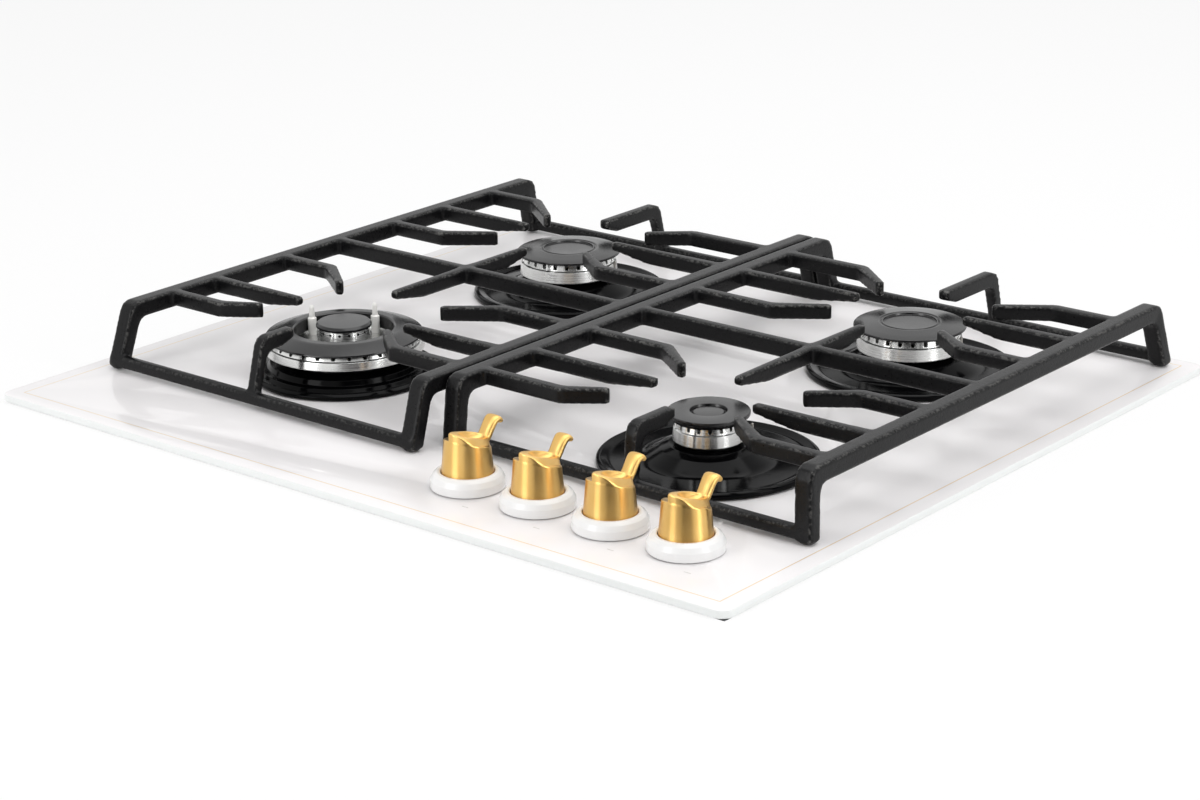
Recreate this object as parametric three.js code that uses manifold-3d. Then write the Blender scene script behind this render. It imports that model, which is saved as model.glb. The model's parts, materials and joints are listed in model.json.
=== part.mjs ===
import * as THREE from 'three';
import { mergeVertices } from 'three/addons/utils/BufferGeometryUtils.js';
import Module from 'manifold-3d';

const wasm = await Module();
wasm.setup();

// Built-in gas hob, mm, +Z up. X runs left to right, Y from the knob side to the back.
// Every height below is measured from the glass top; the last step lifts the whole hob so that
// the underside of the base pan is at zero.

const seat = 0.3;            // gap left where one piece rests on or in another
const facets = 20;           // sides of a round piece
const wideFacets = 24;       // sides of a dish or a wide opening

// Glass plate
const glassWide = 590;
const glassDeep = 520;
const glassThick = 5;
const glassCorner = 8;
const glassArris = 0.6;
const glassRight = glassWide / 2;
const glassBack = glassDeep / 2;

// Base pan under the glass
const panSide = 27;          // from the glass edge in to the pan wall, left and right
const panEnd = 32;           // the same, front and back
const panTubWide = glassWide - 2 * panSide;
const panTubDeep = glassDeep - 2 * panEnd;
const panDepth = 46;
const panSheet = 1.2;
const panFlange = 8;
const panCorner = 12;
const notchWide = 90;
const notchDeep = 45;
const clampX = panTubWide / 2 - 98;
const clampWide = 22;
const clampReach = 9;
const clampDrop = 20;
const clampHole = 2.6;

// Seal between the glass and the worktop
const sealThick = 1.7;
const sealWide = 14;
const sealInset = 2;

// Taps, knobs and their row
const knobCount = 4;
const knobPitch = 54.2;
const knobInset = 71.2;      // from the last knob to the right edge of the glass
const knobFront = 58.3;      // from the knob row to the front edge of the glass
const knobX = glassRight - knobInset - (knobCount - 1) * knobPitch;
const knobY = knobFront - glassBack;
const leverTurn = 90;        // degrees from +X to the way the lever tab points
const knobPress = 3;
const glassKnobHole = 9;
const knobBase = 4.6;
const knobFoot = 15.6;
const knobHead = 13;
const topFall = 15;          // degrees that the knob's top falls towards its lever
const rimTop = 27.7;         // height of the low part of the top, at the knob's axis
const gripTop = 32.6;        // height of the raised grip, at the knob's axis
const tabRoot = 12.6;
const tabTip = 26.4;
const tabTop = 38.3;
const tabWide = 8.6;
const stemR = 4;
const stemTop = 21;
const stemFlat = 1.1;
const stemCollarR = 6;
const stemCollarTop = -9.2;
const stemCollarTall = 2.2;
const springPlateTall = 1.8;
const springPlateR = 8.5;
const bezelR = 22.2;
const bezelTop = 9.8;
const tapWide = 24;
const tapReach = 15.3;
const tapBack = knobY + tapReach;
const tapTop = -20;
const tapTall = 22;
const bonnetR = 9;
const bonnetTall = 2.4;
const outletR = 5.5;
const outletLong = 5;

// Gas rail, inlet and supply pipes
const railFront = 11.9;      // from the knob row forward to the rail
const railY = knobY - railFront;
const railZ = -33;
const railR = 6;
const railLead = 20;         // how far the rail's closed end passes the first knob
const railSide = 18.5;       // from the pan wall in to the rail
const railBackX = panTubWide / 2 - railSide;
const railBend = 8.5;
const pipeR = 3.2;
const inletNutR = 14;
const inletNutLong = 13;
const inletThreadR = 10.4;
const inletThreadLong = 24;
const inletBoreR = 6;

// Tap bracket with its switch strip
const stripTall = 1.5;
const stripTop = -6.2;
const stripFront = knobY - 7.7;
const stripBack = knobY + 10.8;
const stripHole = 5;
const stripLeg = 3;

// Ignition box and mains gland
const ignitionWide = 84;
const ignitionDeep = 34;
const ignitionTall = 24;
const glandR = 5.6;
const glandNutR = 9;
const glandY = panTubDeep / 2 - 22;
const glandZ = -30;
const glandBore = 3.4;

// Burners with an enamelled dish: centre, radii and heights
const dishR = 68;
const mediumBurner = {
  dishR, neck: 23, flange: 52, glassPlay: 6.5, cupR: 28, throat: 8.5,
  hubR: 36, hubTop: 13.6, headBottom: 15.5, headR: 33.9, headShoulder: 23.5, headTopR: 34.5,
  headTop: 28.7, headSlope: 3, wall: 4,
  ports: 20, portWide: 2.5, portDeep: 2,
  capR: 36.8, capTop: 33.2, capEdge: 30, dimpleR: 17.5, dimple: 0.9,
};
const smallBurner = {
  dishR, neck: 15, flange: 43, glassPlay: 10.7, cupR: 21, throat: 5.5,
  hubR: 30, hubTop: 13, headBottom: 15, headR: 21, headShoulder: 22.4, headTopR: 21.3,
  headTop: 27, headSlope: 2.1, wall: 3.2,
  ports: 16, portWide: 2, portDeep: 1.8,
  capR: 25.2, capTop: 33, capEdge: 30.4, dimpleR: 10.8, dimple: 2.4,
};
// Place of a pin that stands clear of a burner's head by a margin, seen from the burner's axis
function beside({ headTopR }, margin, degrees) {
  const turn = THREE.MathUtils.degToRad(degrees);
  return [(headTopR + margin) * Math.cos(turn), (headTopR + margin) * Math.sin(turn)];
}

const burnerX = glassRight - 149.5;
const rearY = glassBack - 124;
const burners = [
  {
    name: 'rear_left', x: -burnerX, y: rearY, size: mediumBurner,
    spark: beside(mediumBurner, -0.4, 22.4), probe: beside(mediumBurner, 1.7, 125.4), inlet: 0,
  },
  {
    name: 'rear_right', x: burnerX, y: rearY, size: mediumBurner,
    spark: beside(mediumBurner, -0.4, 22.4), probe: beside(mediumBurner, 1.7, 125.4), inlet: -20,
  },
  {
    name: 'front_right', x: burnerX + 2.5, y: 177.5 - glassBack, size: smallBurner,
    spark: beside(smallBurner, 4.8, 32.5), probe: beside(smallBurner, 5.3, 124.3), inlet: -60,
  },
];
const sparkR = 2.5;
const sparkTop = 25.5;
const sparkTipR = 1.3;
const probeR = 2.2;
const probeTop = 23.5;
const pinCollar = 1.6;
const pinPlay = 0.7;
const spigotPlay = 0.6;

// Two-ring burner at the front left
const wok = {
  x: -burnerX, y: 167.5 - glassBack, inlet: -35,
  dishR: 61, neck: 38, flange: 58, glassHole: 43, cupR: 42,
  ringR: 52.4, ringBottom: 17, ringTop: 24.4, ringInner: 36, ports: 28, portWide: 2.4,
  crownR: 16.8, crownInner: 11.8, crownTop: 31.6, crownPorts: 10, crownPortWide: 1.8,
  capR: 51.8, capTop: 30.5, capInner: 34, capFlat: 40,
  innerCapR: 17.4, innerCapTop: 34.6, innerCapFlat: 16,
  spark: [-30.6, 1.2], probe: [-0.6, 30], pinTop: 40, pinShoulder: 29,
};

// Cast-iron pan supports. Each finger springs from a side bar towards the burner that it
// serves, and its places are measured from that burner's centre; a bent one turns to its tip.
const grateTop = 44.5;
const grateSide = 20;        // from the outer side bar to the side edge of the glass
const grateGap = 1;          // from the inner side bar to the middle of the hob
const barWide = 12;
const barDeep = 11.5;
const grateCorner = 8;
const legThick = 10.5;
const postThick = 8;
const footTop = 1.5;
const footR = 4.6;
const legFlare = 3;
const lowBarTall = 8.5;
const lowBarDeep = 9;
const crossY = rearY - 108.8;
const crossWide = 7.6;
const crossDeep = 11.7;
const fingerWide = 8;
const fingerTipWide = 5.4;
const fingerDeep = 10.4;
const fingerTipDeep = 5.8;
const fingerRise = 0.37;     // share of a finger's length over which its underside rises
const bentDeep = 9.6;
const edgeBreak = 0.9;
const rearCorner = glassBack - 25;
const rearFoot = glassBack - 13;
const [rearLeft, rearRight, frontRight] = burners;
const grates = [
  {
    name: 'left', left: grateSide - glassRight, right: -grateGap, outer: -1,
    frontCorner: 90 - glassBack, frontFoot: 77 - glassBack,
    middle: rearLeft.x + 0.5, post: rearLeft.x + 1,
    frontPostTip: wok.y - 49.5, rearPostTip: rearY + 38, crossTips: [wok.y + 47.5, rearY - 48],
    straight: [
      { over: rearLeft, from: 'left', y: -0.5, tip: -37.7 },
      { over: wok, from: 'left', y: 0, tip: -39.5 },
      { over: rearLeft, from: 'right', y: -0.5, tip: 41.5 },
      { over: wok, from: 'right', y: 0, tip: 55.5 },
    ],
    bent: [
      { over: rearLeft, from: 'left', y: 53, bend: -75.5, tip: [-40.5, 25] },
      { over: rearLeft, from: 'left', y: -53, bend: -72.5, tip: [-40.5, -30] },
      { over: wok, from: 'left', y: 65.5, bend: -75.5, tip: [-43.5, 41.5] },
      { over: wok, from: 'left', y: -39, bend: -73.5, tip: [-49.5, -24.5] },
      { over: rearLeft, from: 'right', y: 53, bend: 70.5, tip: [43.5, 32] },
      { over: rearLeft, from: 'right', y: -53, bend: 72.5, tip: [41.5, -31] },
      { over: wok, from: 'right', y: 65.5, bend: 82.5, tip: [48.5, 40.5] },
      { over: wok, from: 'right', y: -39, bend: 82.5, tip: [53.5, -15.5] },
    ],
  },
  {
    name: 'right', left: grateGap, right: glassRight - grateSide, outer: 1,
    frontCorner: 106 - glassBack, frontFoot: 100.5 - glassBack,
    middle: rearRight.x - 0.5, post: rearRight.x + 0.5,
    frontPostTip: frontRight.y - 34.5, rearPostTip: rearY + 38,
    crossTips: [frontRight.y + 32.5, rearY - 54],
    straight: [
      { over: rearRight, from: 'left', y: -0.5, tip: -40.5 },
      { over: frontRight, from: 'left', y: 0, tip: -40 },
      { over: rearRight, from: 'right', y: -0.5, tip: 41.5 },
      { over: frontRight, from: 'right', y: 0, tip: 34 },
    ],
    bent: [
      { over: rearRight, from: 'left', y: 53, bend: -73.5, tip: [-42.5, 29] },
      { over: rearRight, from: 'left', y: -53, bend: -73.5, tip: [-40.5, -31] },
      { over: frontRight, from: 'left', y: 55.5, bend: -75, tip: [-45, 32.5] },
      { over: frontRight, from: 'left', y: -46.5, bend: -75, tip: [-51, -30.5] },
      { over: rearRight, from: 'right', y: 53, bend: 76.5, tip: [42.5, 31] },
      { over: rearRight, from: 'right', y: -53, bend: 72.5, tip: [44.5, -33] },
      { over: frontRight, from: 'right', y: 55.5, bend: 72, tip: [44, 34.5] },
      { over: frontRight, from: 'right', y: -46.5, bend: 70, tip: [39, -23.5] },
    ],
  },
];

// Levels that follow from the sizes above
const underGlass = -glassThick - seat;
const panFloor = underGlass - panDepth + panSheet;
const panFoot = underGlass - panDepth;
const knobXs = Array.from({ length: knobCount }, (_, i) => knobX + i * knobPitch);

const finishes = {
  glass: { color: 0xf1eeec, roughness: 0.06, metalness: 0 },
  enamel: { color: 0x0c0c0d, roughness: 0.15, metalness: 0 },
  iron: { color: 0x1b1b1c, roughness: 0.7, metalness: 0.2 },
  alloy: { color: 0xc9cacc, roughness: 0.35, metalness: 1 },
  cap: { color: 0x202122, roughness: 0.55, metalness: 0.1 },
  gold: { color: 0xc8a27c, roughness: 0.32, metalness: 1 },
  collar: { color: 0xf5f4f2, roughness: 0.12, metalness: 0 },
  steel: { color: 0x9fa2a5, roughness: 0.45, metalness: 0.9 },
  brass: { color: 0xb99a4f, roughness: 0.35, metalness: 1 },
  ceramic: { color: 0xf2efe8, roughness: 0.3, metalness: 0 },
  rubber: { color: 0x161616, roughness: 0.9, metalness: 0 },
  plastic: { color: 0xd8d6cf, roughness: 0.5, metalness: 0 },
};

// A manifold solid from a three.js geometry
function solid(geometry) {
  const bare = geometry.clone();
  bare.deleteAttribute('normal');
  bare.deleteAttribute('uv');
  const merged = mergeVertices(bare, 1e-4);
  const source = merged.index.array;
  const corners = [];
  for (let i = 0; i < source.length; i += 3) {
    const [a, b, c] = source.slice(i, i + 3);
    if (a !== b && b !== c && c !== a) {
      corners.push(a, b, c);
    }
  }
  return new wasm.Manifold(new wasm.Mesh({
    numProp: 3,
    vertProperties: new Float32Array(merged.attributes.position.array),
    triVerts: new Uint32Array(corners),
  }));
}

// Solid of revolution about Z; the profile [r, z] runs anticlockwise, r to the right
function turned(profile, segments = facets) {
  const points = profile.map(([r, z]) => new THREE.Vector2(r, z));
  if (profile[0][0] > 0) {
    points.push(points[0].clone());
  }
  return solid(new THREE.LatheGeometry(points, segments).rotateX(Math.PI / 2));
}

// Outline with rounded corners from [u, v, radius] corners
function rounded(corners, steps = 2) {
  const points = corners.map(([u, v]) => new THREE.Vector2(u, v));
  return points.flatMap((here, i) => {
    const radius = corners[i][2] ?? 0;
    if (radius === 0) {
      return [here];
    }
    const back = points.at(i - 1).clone().sub(here).normalize();
    const ahead = points[(i + 1) % points.length].clone().sub(here).normalize();
    const half = Math.acos(back.dot(ahead)) / 2;
    const middle = back.clone().add(ahead).normalize();
    const centre = here.clone().addScaledVector(middle, radius / Math.sin(half));
    const start = here.clone().addScaledVector(back, radius / Math.tan(half)).sub(centre);
    const end = here.clone().addScaledVector(ahead, radius / Math.tan(half)).sub(centre);
    const sweep = Math.atan2(start.cross(end), start.dot(end));
    return Array.from({ length: steps + 1 }, (_, k) => (
      start.clone().rotateAround(new THREE.Vector2(), sweep * k / steps).add(centre)
    ));
  });
}

function boxOutline(x0, x1, y0, y1, radius) {
  return rounded([[x0, y0, radius], [x1, y0, radius], [x1, y1, radius], [x0, y1, radius]]);
}

function discOutline(x, y, radius, segments = facets) {
  return Array.from({ length: segments }, (_, i) => new THREE.Vector2(
    x + radius * Math.cos(2 * Math.PI * i / segments),
    y + radius * Math.sin(2 * Math.PI * i / segments),
  ));
}

// Outline drawn out along its normal, with its sharp edges broken
function drawn(outline, length, broken = 0) {
  return new THREE.ExtrudeGeometry(new THREE.Shape(outline), {
    depth: length - 2 * broken,
    steps: 1,
    bevelEnabled: broken > 0,
    bevelThickness: broken,
    bevelSize: broken,
    bevelOffset: -broken,
    bevelSegments: 1,
  }).translate(0, 0, broken);
}

// Plate in plan, between two heights
function plate(outline, bottom, top, broken = 0) {
  return solid(drawn(outline, top - bottom, broken).translate(0, 0, bottom));
}

// Outline in the Y-Z plane drawn from x0 to x1
function drawnAlongX(outline, x0, x1, broken = 0) {
  const basis = new THREE.Matrix4().makeBasis(
    new THREE.Vector3(0, 1, 0), new THREE.Vector3(0, 0, 1), new THREE.Vector3(1, 0, 0),
  );
  return drawn(outline, x1 - x0, broken).applyMatrix4(basis).translate(x0, 0, 0);
}

// Outline in the X-Z plane drawn between two places in Y
function drawnAlongY(outline, y0, y1, broken = 0) {
  const basis = new THREE.Matrix4().makeBasis(
    new THREE.Vector3(1, 0, 0), new THREE.Vector3(0, 0, 1), new THREE.Vector3(0, -1, 0),
  );
  return drawn(outline, y1 - y0, broken).applyMatrix4(basis).translate(0, y1, 0);
}

// Geometry with each of its points moved by a rule
function reshaped(geometry, rule) {
  const place = geometry.attributes.position;
  const point = new THREE.Vector3();
  for (let i = 0; i < place.count; i += 1) {
    rule(point.fromBufferAttribute(place, i));
    place.setXYZ(i, point.x, point.y, point.z);
  }
  return geometry;
}

function block(x0, x1, y0, y1, z0, z1) {
  return solid(new THREE.BoxGeometry(x1 - x0, y1 - y0, z1 - z0).translate(
    (x0 + x1) / 2, (y0 + y1) / 2, (z0 + z1) / 2,
  ));
}

// Round bar between two points
function rod(from, to, radius, segments = 20) {
  const start = new THREE.Vector3(...from);
  const span = new THREE.Vector3(...to).sub(start);
  const geometry = new THREE.CylinderGeometry(radius, radius, span.length(), segments);
  geometry.translate(0, span.length() / 2, 0);
  const turn = new THREE.Quaternion().setFromUnitVectors(
    new THREE.Vector3(0, 1, 0), span.clone().normalize(),
  );
  return solid(geometry.applyQuaternion(turn).translate(...from));
}

// Path through a row of points, walked point by point
class PointPath extends THREE.Curve {
  constructor(points) {
    super();
    this.points = points;
  }

  getPointAt(share) {
    return this.points[Math.round(share * (this.points.length - 1))].clone();
  }

  getTangentAt(share) {
    const i = Math.round(share * (this.points.length - 1));
    const next = this.points[Math.min(i + 1, this.points.length - 1)];
    return next.clone().sub(this.points[Math.max(i - 1, 0)]).normalize();
  }
}

// Round tube drawn along a level path; the path's inner corners are rounded
function pipe(corners, z, radius, sides) {
  const points = rounded(corners, 3).map((point) => new THREE.Vector3(point.x, point.y, z));
  return solid(new THREE.ExtrudeGeometry(new THREE.Shape(discOutline(0, 0, radius, sides)), {
    steps: points.length - 1,
    bevelEnabled: false,
    extrudePath: new PointPath(points),
  }));
}

function joined(pieces) {
  return pieces.reduce((whole, piece) => whole.add(piece));
}

function cut(body, tools) {
  return tools.reduce((whole, tool) => whole.subtract(tool), body);
}

const hob = new THREE.Group();

function add(name, body, finish) {
  const data = body.getMesh();
  const geometry = new THREE.BufferGeometry();
  geometry.setAttribute('position', new THREE.BufferAttribute(data.vertProperties, 3));
  geometry.setIndex(new THREE.BufferAttribute(data.triVerts, 1));
  geometry.translate(0, 0, -panFoot);
  const mesh = new THREE.Mesh(geometry, new THREE.MeshStandardMaterial(finishes[finish]));
  mesh.name = name;
  hob.add(mesh);
}

// --- Glass, seal and pan ---

function glassPlate() {
  const halfX = glassWide / 2;
  const halfY = glassDeep / 2;
  const sheet = plate(
    boxOutline(-halfX, halfX, -halfY, halfY, glassCorner), -glassThick, 0, glassArris,
  );
  const holes = [
    ...burners.map(({ x, y, size }) => [x, y, size.headTopR + size.glassPlay]),
    [wok.x, wok.y, wok.glassHole],
    ...knobXs.map((x) => [x, knobY, glassKnobHole]),
  ];
  return cut(sheet, holes.map(([x, y, radius]) => (
    plate(discOutline(x, y, radius, radius > 20 ? wideFacets : 16), -glassThick - 1, 1)
  )));
}

function seal() {
  const halfX = glassWide / 2 - sealInset;
  const halfY = glassDeep / 2 - sealInset;
  const bottom = underGlass - sealThick;
  const outer = plate(
    boxOutline(-halfX, halfX, -halfY, halfY, glassCorner), bottom, underGlass,
  );
  const inX = halfX - sealWide;
  const inY = halfY - sealWide;
  return outer.subtract(plate(boxOutline(-inX, inX, -inY, inY, 2), bottom - 1, underGlass + 1));
}

// Plan of the pan, with the gas corner left out, grown outwards by a margin
function panOutline(grow) {
  const x = panTubWide / 2 + grow;
  const y = panTubDeep / 2 + grow;
  const r = panCorner + grow;
  const stepX = panTubWide / 2 - notchWide + grow;
  const stepY = panTubDeep / 2 - notchDeep + grow;
  return rounded([
    [-x, -y, r], [x, -y, r], [x, stepY, r], [stepX, stepY, 8], [stepX, y, r], [-x, y, r],
  ]);
}

function basePan() {
  const flangeBottom = underGlass - panSheet;
  const shell = plate(panOutline(0), panFoot, underGlass, 0).add(
    plate(panOutline(panFlange), flangeBottom, underGlass),
  );
  const hollow = plate(panOutline(-panSheet), panFloor, underGlass + 1);
  const tabs = [-1, 1].flatMap((side) => [-1, 1].map((end) => {
    const wall = end * panTubDeep / 2;
    const far = wall + end * clampReach;
    const x = side === 1 && end === 1 ? clampX - notchWide : side * clampX;
    const top = underGlass - clampDrop;
    const lug = block(
      x - clampWide / 2, x + clampWide / 2, Math.min(wall, far) - 0.5 * (end > 0),
      Math.max(wall, far) + 0.5 * (end < 0), top - 2, top,
    );
    return lug.subtract(rod([x, wall + end * 5, top - 3], [x, wall + end * 5, top + 1], clampHole, 12));
  }));
  const stepX = panTubWide / 2 - notchWide;
  const stepY = panTubDeep / 2 - notchDeep;
  return cut(joined([shell.subtract(hollow), ...tabs]), [
    rod([railBackX, stepY - 3, railZ], [railBackX, stepY + 2, railZ], railR + 0.5),
    rod([stepX - 3, glandY, glandZ], [stepX + 2, glandY, glandZ], glandR + 0.4),
  ]);
}

// --- Burners ---

// Pressed, enamelled dish with a raised hub for the burner to stand in
function dish(size) {
  const { hubR, hubTop, neck, dishR: rim } = size;
  const bore = neck + 0.5;
  return turned([
    [bore, hubTop - 2.4], [hubR - 7, hubTop - 3.2], [hubR + 8, 3], [rim - 8, seat],
    [rim - 3, seat], [rim, 2.7], [rim - 1.6, 4.6], [hubR + 12, 3.8], [hubR, 9.6],
    [hubR - 6, hubTop - 0.4], [bore, hubTop],
  ], wideFacets);
}

// Injector and mixing cup; its flange carries the burner under the glass
function cup(size, inlet) {
  const { neck, flange, cupR, throat } = size;
  const foot = railZ - 8;
  const top = size.headBottom - seat;
  const body = turned([
    [0, foot], [cupR, foot], [cupR, underGlass - 3], [flange, underGlass - 3],
    [flange, underGlass], [neck, underGlass], [neck, top], [neck - 2, top], [neck - 2, -14],
    [throat + 4, -20], [throat + 4, foot + 3], [4, foot + 3], [4, foot + 12], [0, foot + 12],
  ]);
  const turn = THREE.MathUtils.degToRad(inlet);
  const way = [Math.cos(turn), Math.sin(turn)];
  const near = cupR - 6;
  const far = cupR + 7;
  return body.add(rod(
    [near * way[0], near * way[1], railZ], [far * way[0], far * way[1], railZ], outletR,
  ));
}

// Slots cut outwards through the top edge of a burner ring
function portTools(count, wide, inner, outer, bottom, top) {
  return Array.from({ length: count }, (_, i) => solid(
    new THREE.BoxGeometry(outer - inner, wide, top - bottom)
      .translate((inner + outer) / 2, 0, (bottom + top) / 2)
      .rotateZ(2 * Math.PI * (i + 0.5) / count),
  ));
}

function head(size) {
  const { neck, headBottom, headShoulder, headTop, headSlope, headR, headTopR, wall, throat } = size;
  const spigot = neck - 2 - spigotPlay;
  const chamber = headBottom + 4;
  const foot = headBottom - 9;
  const body = turned([
    [spigot, foot], [spigot, headBottom], [headR, headBottom], [headTopR, headShoulder],
    [headTopR - headSlope, headTop], [headTopR - wall, headTop], [headTopR - wall - 1, chamber],
    [throat, chamber], [throat, foot],
  ], size.ports);
  const tools = portTools(
    size.ports, size.portWide, headTopR - wall - 2, headTopR + 2, headTop - size.portDeep, headTop + 1,
  );
  return cut(body, tools);
}

// Cap with a ring under it that centres it in the head
function cap(size) {
  const { capR, capTop, capEdge, dimpleR, dimple, headTop, headTopR, wall } = size;
  const ring = headTopR - wall - seat;
  const rest = headTop + seat;
  return turned([
    [0, rest - 2], [ring, rest - 2], [ring, rest], [headTopR, rest], [capR, capEdge],
    [capR, capTop - 1.6], [capR - 1.4, capTop], [dimpleR, capTop], [dimpleR, capTop - dimple],
    [0, capTop - dimple],
  ], size.ports);
}

// Ceramic spark electrode: insulator, collar on the cup flange and wire tip
function spark(top, shoulder, bottom, rest) {
  return turned([
    [0, bottom], [sparkR, bottom], [sparkR, rest], [sparkR + pinCollar, rest],
    [sparkR + pinCollar, rest + 2], [sparkR, rest + 2], [sparkR, shoulder], [sparkTipR, shoulder],
    [sparkTipR, top], [0, top],
  ], 8);
}

// Flame probe: sleeve, collar on the cup flange and rounded tip
function probe(top, shoulder, bottom, rest) {
  return turned([
    [0, bottom], [probeR, bottom], [probeR, rest], [probeR + pinCollar + 0.4, rest],
    [probeR + pinCollar + 0.4, rest + 2.6], [probeR, rest + 2.6], [probeR, shoulder],
    [probeR - 0.7, shoulder], [probeR - 0.7, top], [0, top],
  ], 8);
}

// Passages for the spark electrode and the flame probe, seen in plan
function pinTools(points, radius, bottom, top) {
  return points.map(([x, y]) => rod([x, y, bottom], [x, y, top], radius, 12));
}

function addBurner({ name, x, y, size, spark: sparkAt, probe: probeAt, inlet }) {
  const pins = [sparkAt, probeAt];
  const play = sparkR + pinPlay;
  const rest = underGlass + seat;
  const place = (body) => body.translate([x, y, 0]);
  add(`${name}_dish`, place(cut(dish(size), pinTools(pins, play, 0, 20))), 'enamel');
  add(`${name}_cup`, place(cut(cup(size, inlet), pinTools(pins, sparkR + seat, -12, 0))), 'alloy');
  add(`${name}_head`, place(cut(head(size), pinTools(pins, play, 0, 40))), 'alloy');
  add(`${name}_cap`, place(cap(size)), 'cap');
  const sparkPin = spark(sparkTop, sparkTop - 6, -16, rest).translate([...sparkAt, 0]);
  add(`${name}_spark`, place(sparkPin), 'ceramic');
  const probePin = probe(probeTop, probeTop - 8, -22, rest).translate([...probeAt, 0]);
  add(`${name}_probe`, place(probePin), 'brass');
}

// Stepped, enamelled base of the two-ring burner
function wokDish() {
  const bore = wok.neck + 0.5;
  const edge = wok.dishR;
  return turned([
    [bore, 7], [50, 5.4], [54, seat], [edge - 1.4, seat], [edge, 2.6], [edge - 2.2, 4.2],
    [edge - 6.4, 7], [edge - 10, 8], [edge - 12, 11], [edge - 17, 12.6], [bore, 12.6],
  ], wideFacets);
}

function wokHead() {
  const { ringR, ringBottom, ringTop, ringInner, crownR, crownInner, crownTop, neck } = wok;
  const spigot = neck - 2 - spigotPlay;
  const floor = ringBottom + 3;
  const foot = ringBottom - 6;
  const body = turned([
    [spigot, foot], [spigot, ringBottom], [ringR - 1.6, ringBottom], [ringR, ringBottom + 1.4],
    [ringR, ringTop - 2.6], [ringR - 3, ringTop], [ringInner, ringTop], [ringInner, floor],
    [crownR, floor], [crownR, crownTop], [crownInner, crownTop], [crownInner, floor], [9, floor],
    [9, foot],
  ], wok.ports);
  return cut(body, [
    ...portTools(wok.ports, wok.portWide, ringR - 6, ringR + 2, ringTop - 2.2, ringTop + 1),
    ...portTools(
      wok.crownPorts, wok.crownPortWide, crownInner - 2, crownR + 2, crownTop - 3.4, crownTop + 1,
    ),
  ]);
}

function wokCap() {
  const { capR, capTop, capInner, capFlat, ringTop, ringInner } = wok;
  const rest = ringTop + seat;
  return turned([
    [capInner, rest - 2], [ringInner - seat, rest - 2], [ringInner - seat, rest],
    [capR - 2, rest], [capR, rest + 1.2], [capR - 1.2, rest + 2.8],
    [(capR + capFlat) / 2, capTop - 1], [capFlat, capTop], [capInner + 1, capTop],
    [capInner, capTop - 1],
  ], wok.ports);
}

function wokInnerCap() {
  const { innerCapR, innerCapTop, innerCapFlat, crownInner, crownTop } = wok;
  const rest = crownTop + seat;
  const ring = crownInner - seat;
  return turned([
    [0, rest - 3], [ring, rest - 3], [ring, rest],
    [innerCapR, rest], [innerCapR, rest + 0.7], [innerCapFlat, innerCapTop], [0, innerCapTop],
  ]);
}

function addWok() {
  const { x, y, spark: sparkAt, probe: probeAt, pinTop, pinShoulder } = wok;
  const pins = [sparkAt, probeAt];
  const place = (body) => body.translate([x, y, 0]);
  const size = { ...wok, throat: 24, headBottom: wok.ringBottom };
  add('front_left_dish', place(wokDish()), 'enamel');
  add('front_left_cup', place(cup(size, wok.inlet)), 'alloy');
  add('front_left_head', place(cut(wokHead(), pinTools(pins, sparkR + pinPlay, 0, 60))), 'alloy');
  add('front_left_cap', place(wokCap()), 'cap');
  add('front_left_inner_cap', place(wokInnerCap()), 'cap');
  const rest = -14;
  const sparkPin = spark(pinTop, pinShoulder, rest - 1.5, rest).translate([...sparkAt, 0]);
  add('front_left_spark', place(sparkPin), 'ceramic');
  const probePin = probe(pinTop, pinShoulder, rest - 1.5, rest).translate([...probeAt, 0]);
  add('front_left_probe', place(probePin), 'brass');
}

// --- Taps and knobs ---

// What of a solid lies under a plane that falls towards +X and passes the axis at a height
function under(body, height) {
  const fall = THREE.MathUtils.degToRad(topFall);
  return body.trimByPlane([-Math.sin(fall), 0, -Math.cos(fall)], -Math.cos(fall) * height);
}

// Tapered knob with a falling top; a grip stands on the top, dished for a finger, and ends
// in a tab that curls up and outward
function knobBody() {
  const top = gripTop + 6;
  const cone = turned([
    [stemR + seat, knobBase], [knobFoot, knobBase], [knobFoot, bezelTop], [knobHead, top],
    [0, top], [0, stemTop + seat], [stemR + seat, stemTop + seat],
  ]);
  const reach = knobHead + 1;
  const plan = plate(rounded([
    [-reach, 1], [-9, 4.4, 3], [-3, 6.4, 6], [8, 5.2, 6], [reach, 3.9],
    [reach, -5], [8, -7.6, 6], [-1, -8.6, 6], [-8, -7, 3], [-reach, -3.5],
  ]), rimTop - 6, top);
  const dish = solid(new THREE.SphereGeometry(1, 14, 10).scale(9.6, 4.8, 3)
    .rotateY(THREE.MathUtils.degToRad(topFall)).translate(1.6, -1.2, gripTop - 0.4));
  const tab = solid(drawnAlongY(rounded([
    [tabRoot - 3, 25], [tabRoot - 3, 29.6], [tabRoot + 1.8, 29.8, 2], [20.4, tabTop - 1, 2],
    [22.6, tabTop, 1], [tabTip - 1.4, tabTop - 0.4, 1], [tabTip, tabTop - 3, 1.5],
    [24, 31, 6], [20, 27, 6], [tabRoot + 1.4, 22],
  ]), -tabWide / 2, tabWide / 2));
  const grip = under(cone.intersect(plan), gripTop).subtract(dish);
  return joined([under(cone, rimTop), grip, tab]).rotate([0, 0, leverTurn]);
}

function bezel() {
  return turned([
    [knobFoot + 0.5, seat], [bezelR - 0.3, seat], [bezelR, 0.8],
    [bezelR, 5.4], [bezelR - 1.5, bezelTop - 1.4], [bezelR - 3.9, bezelTop],
    [knobFoot + 0.5, bezelTop - 0.6],
  ]);
}

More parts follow.
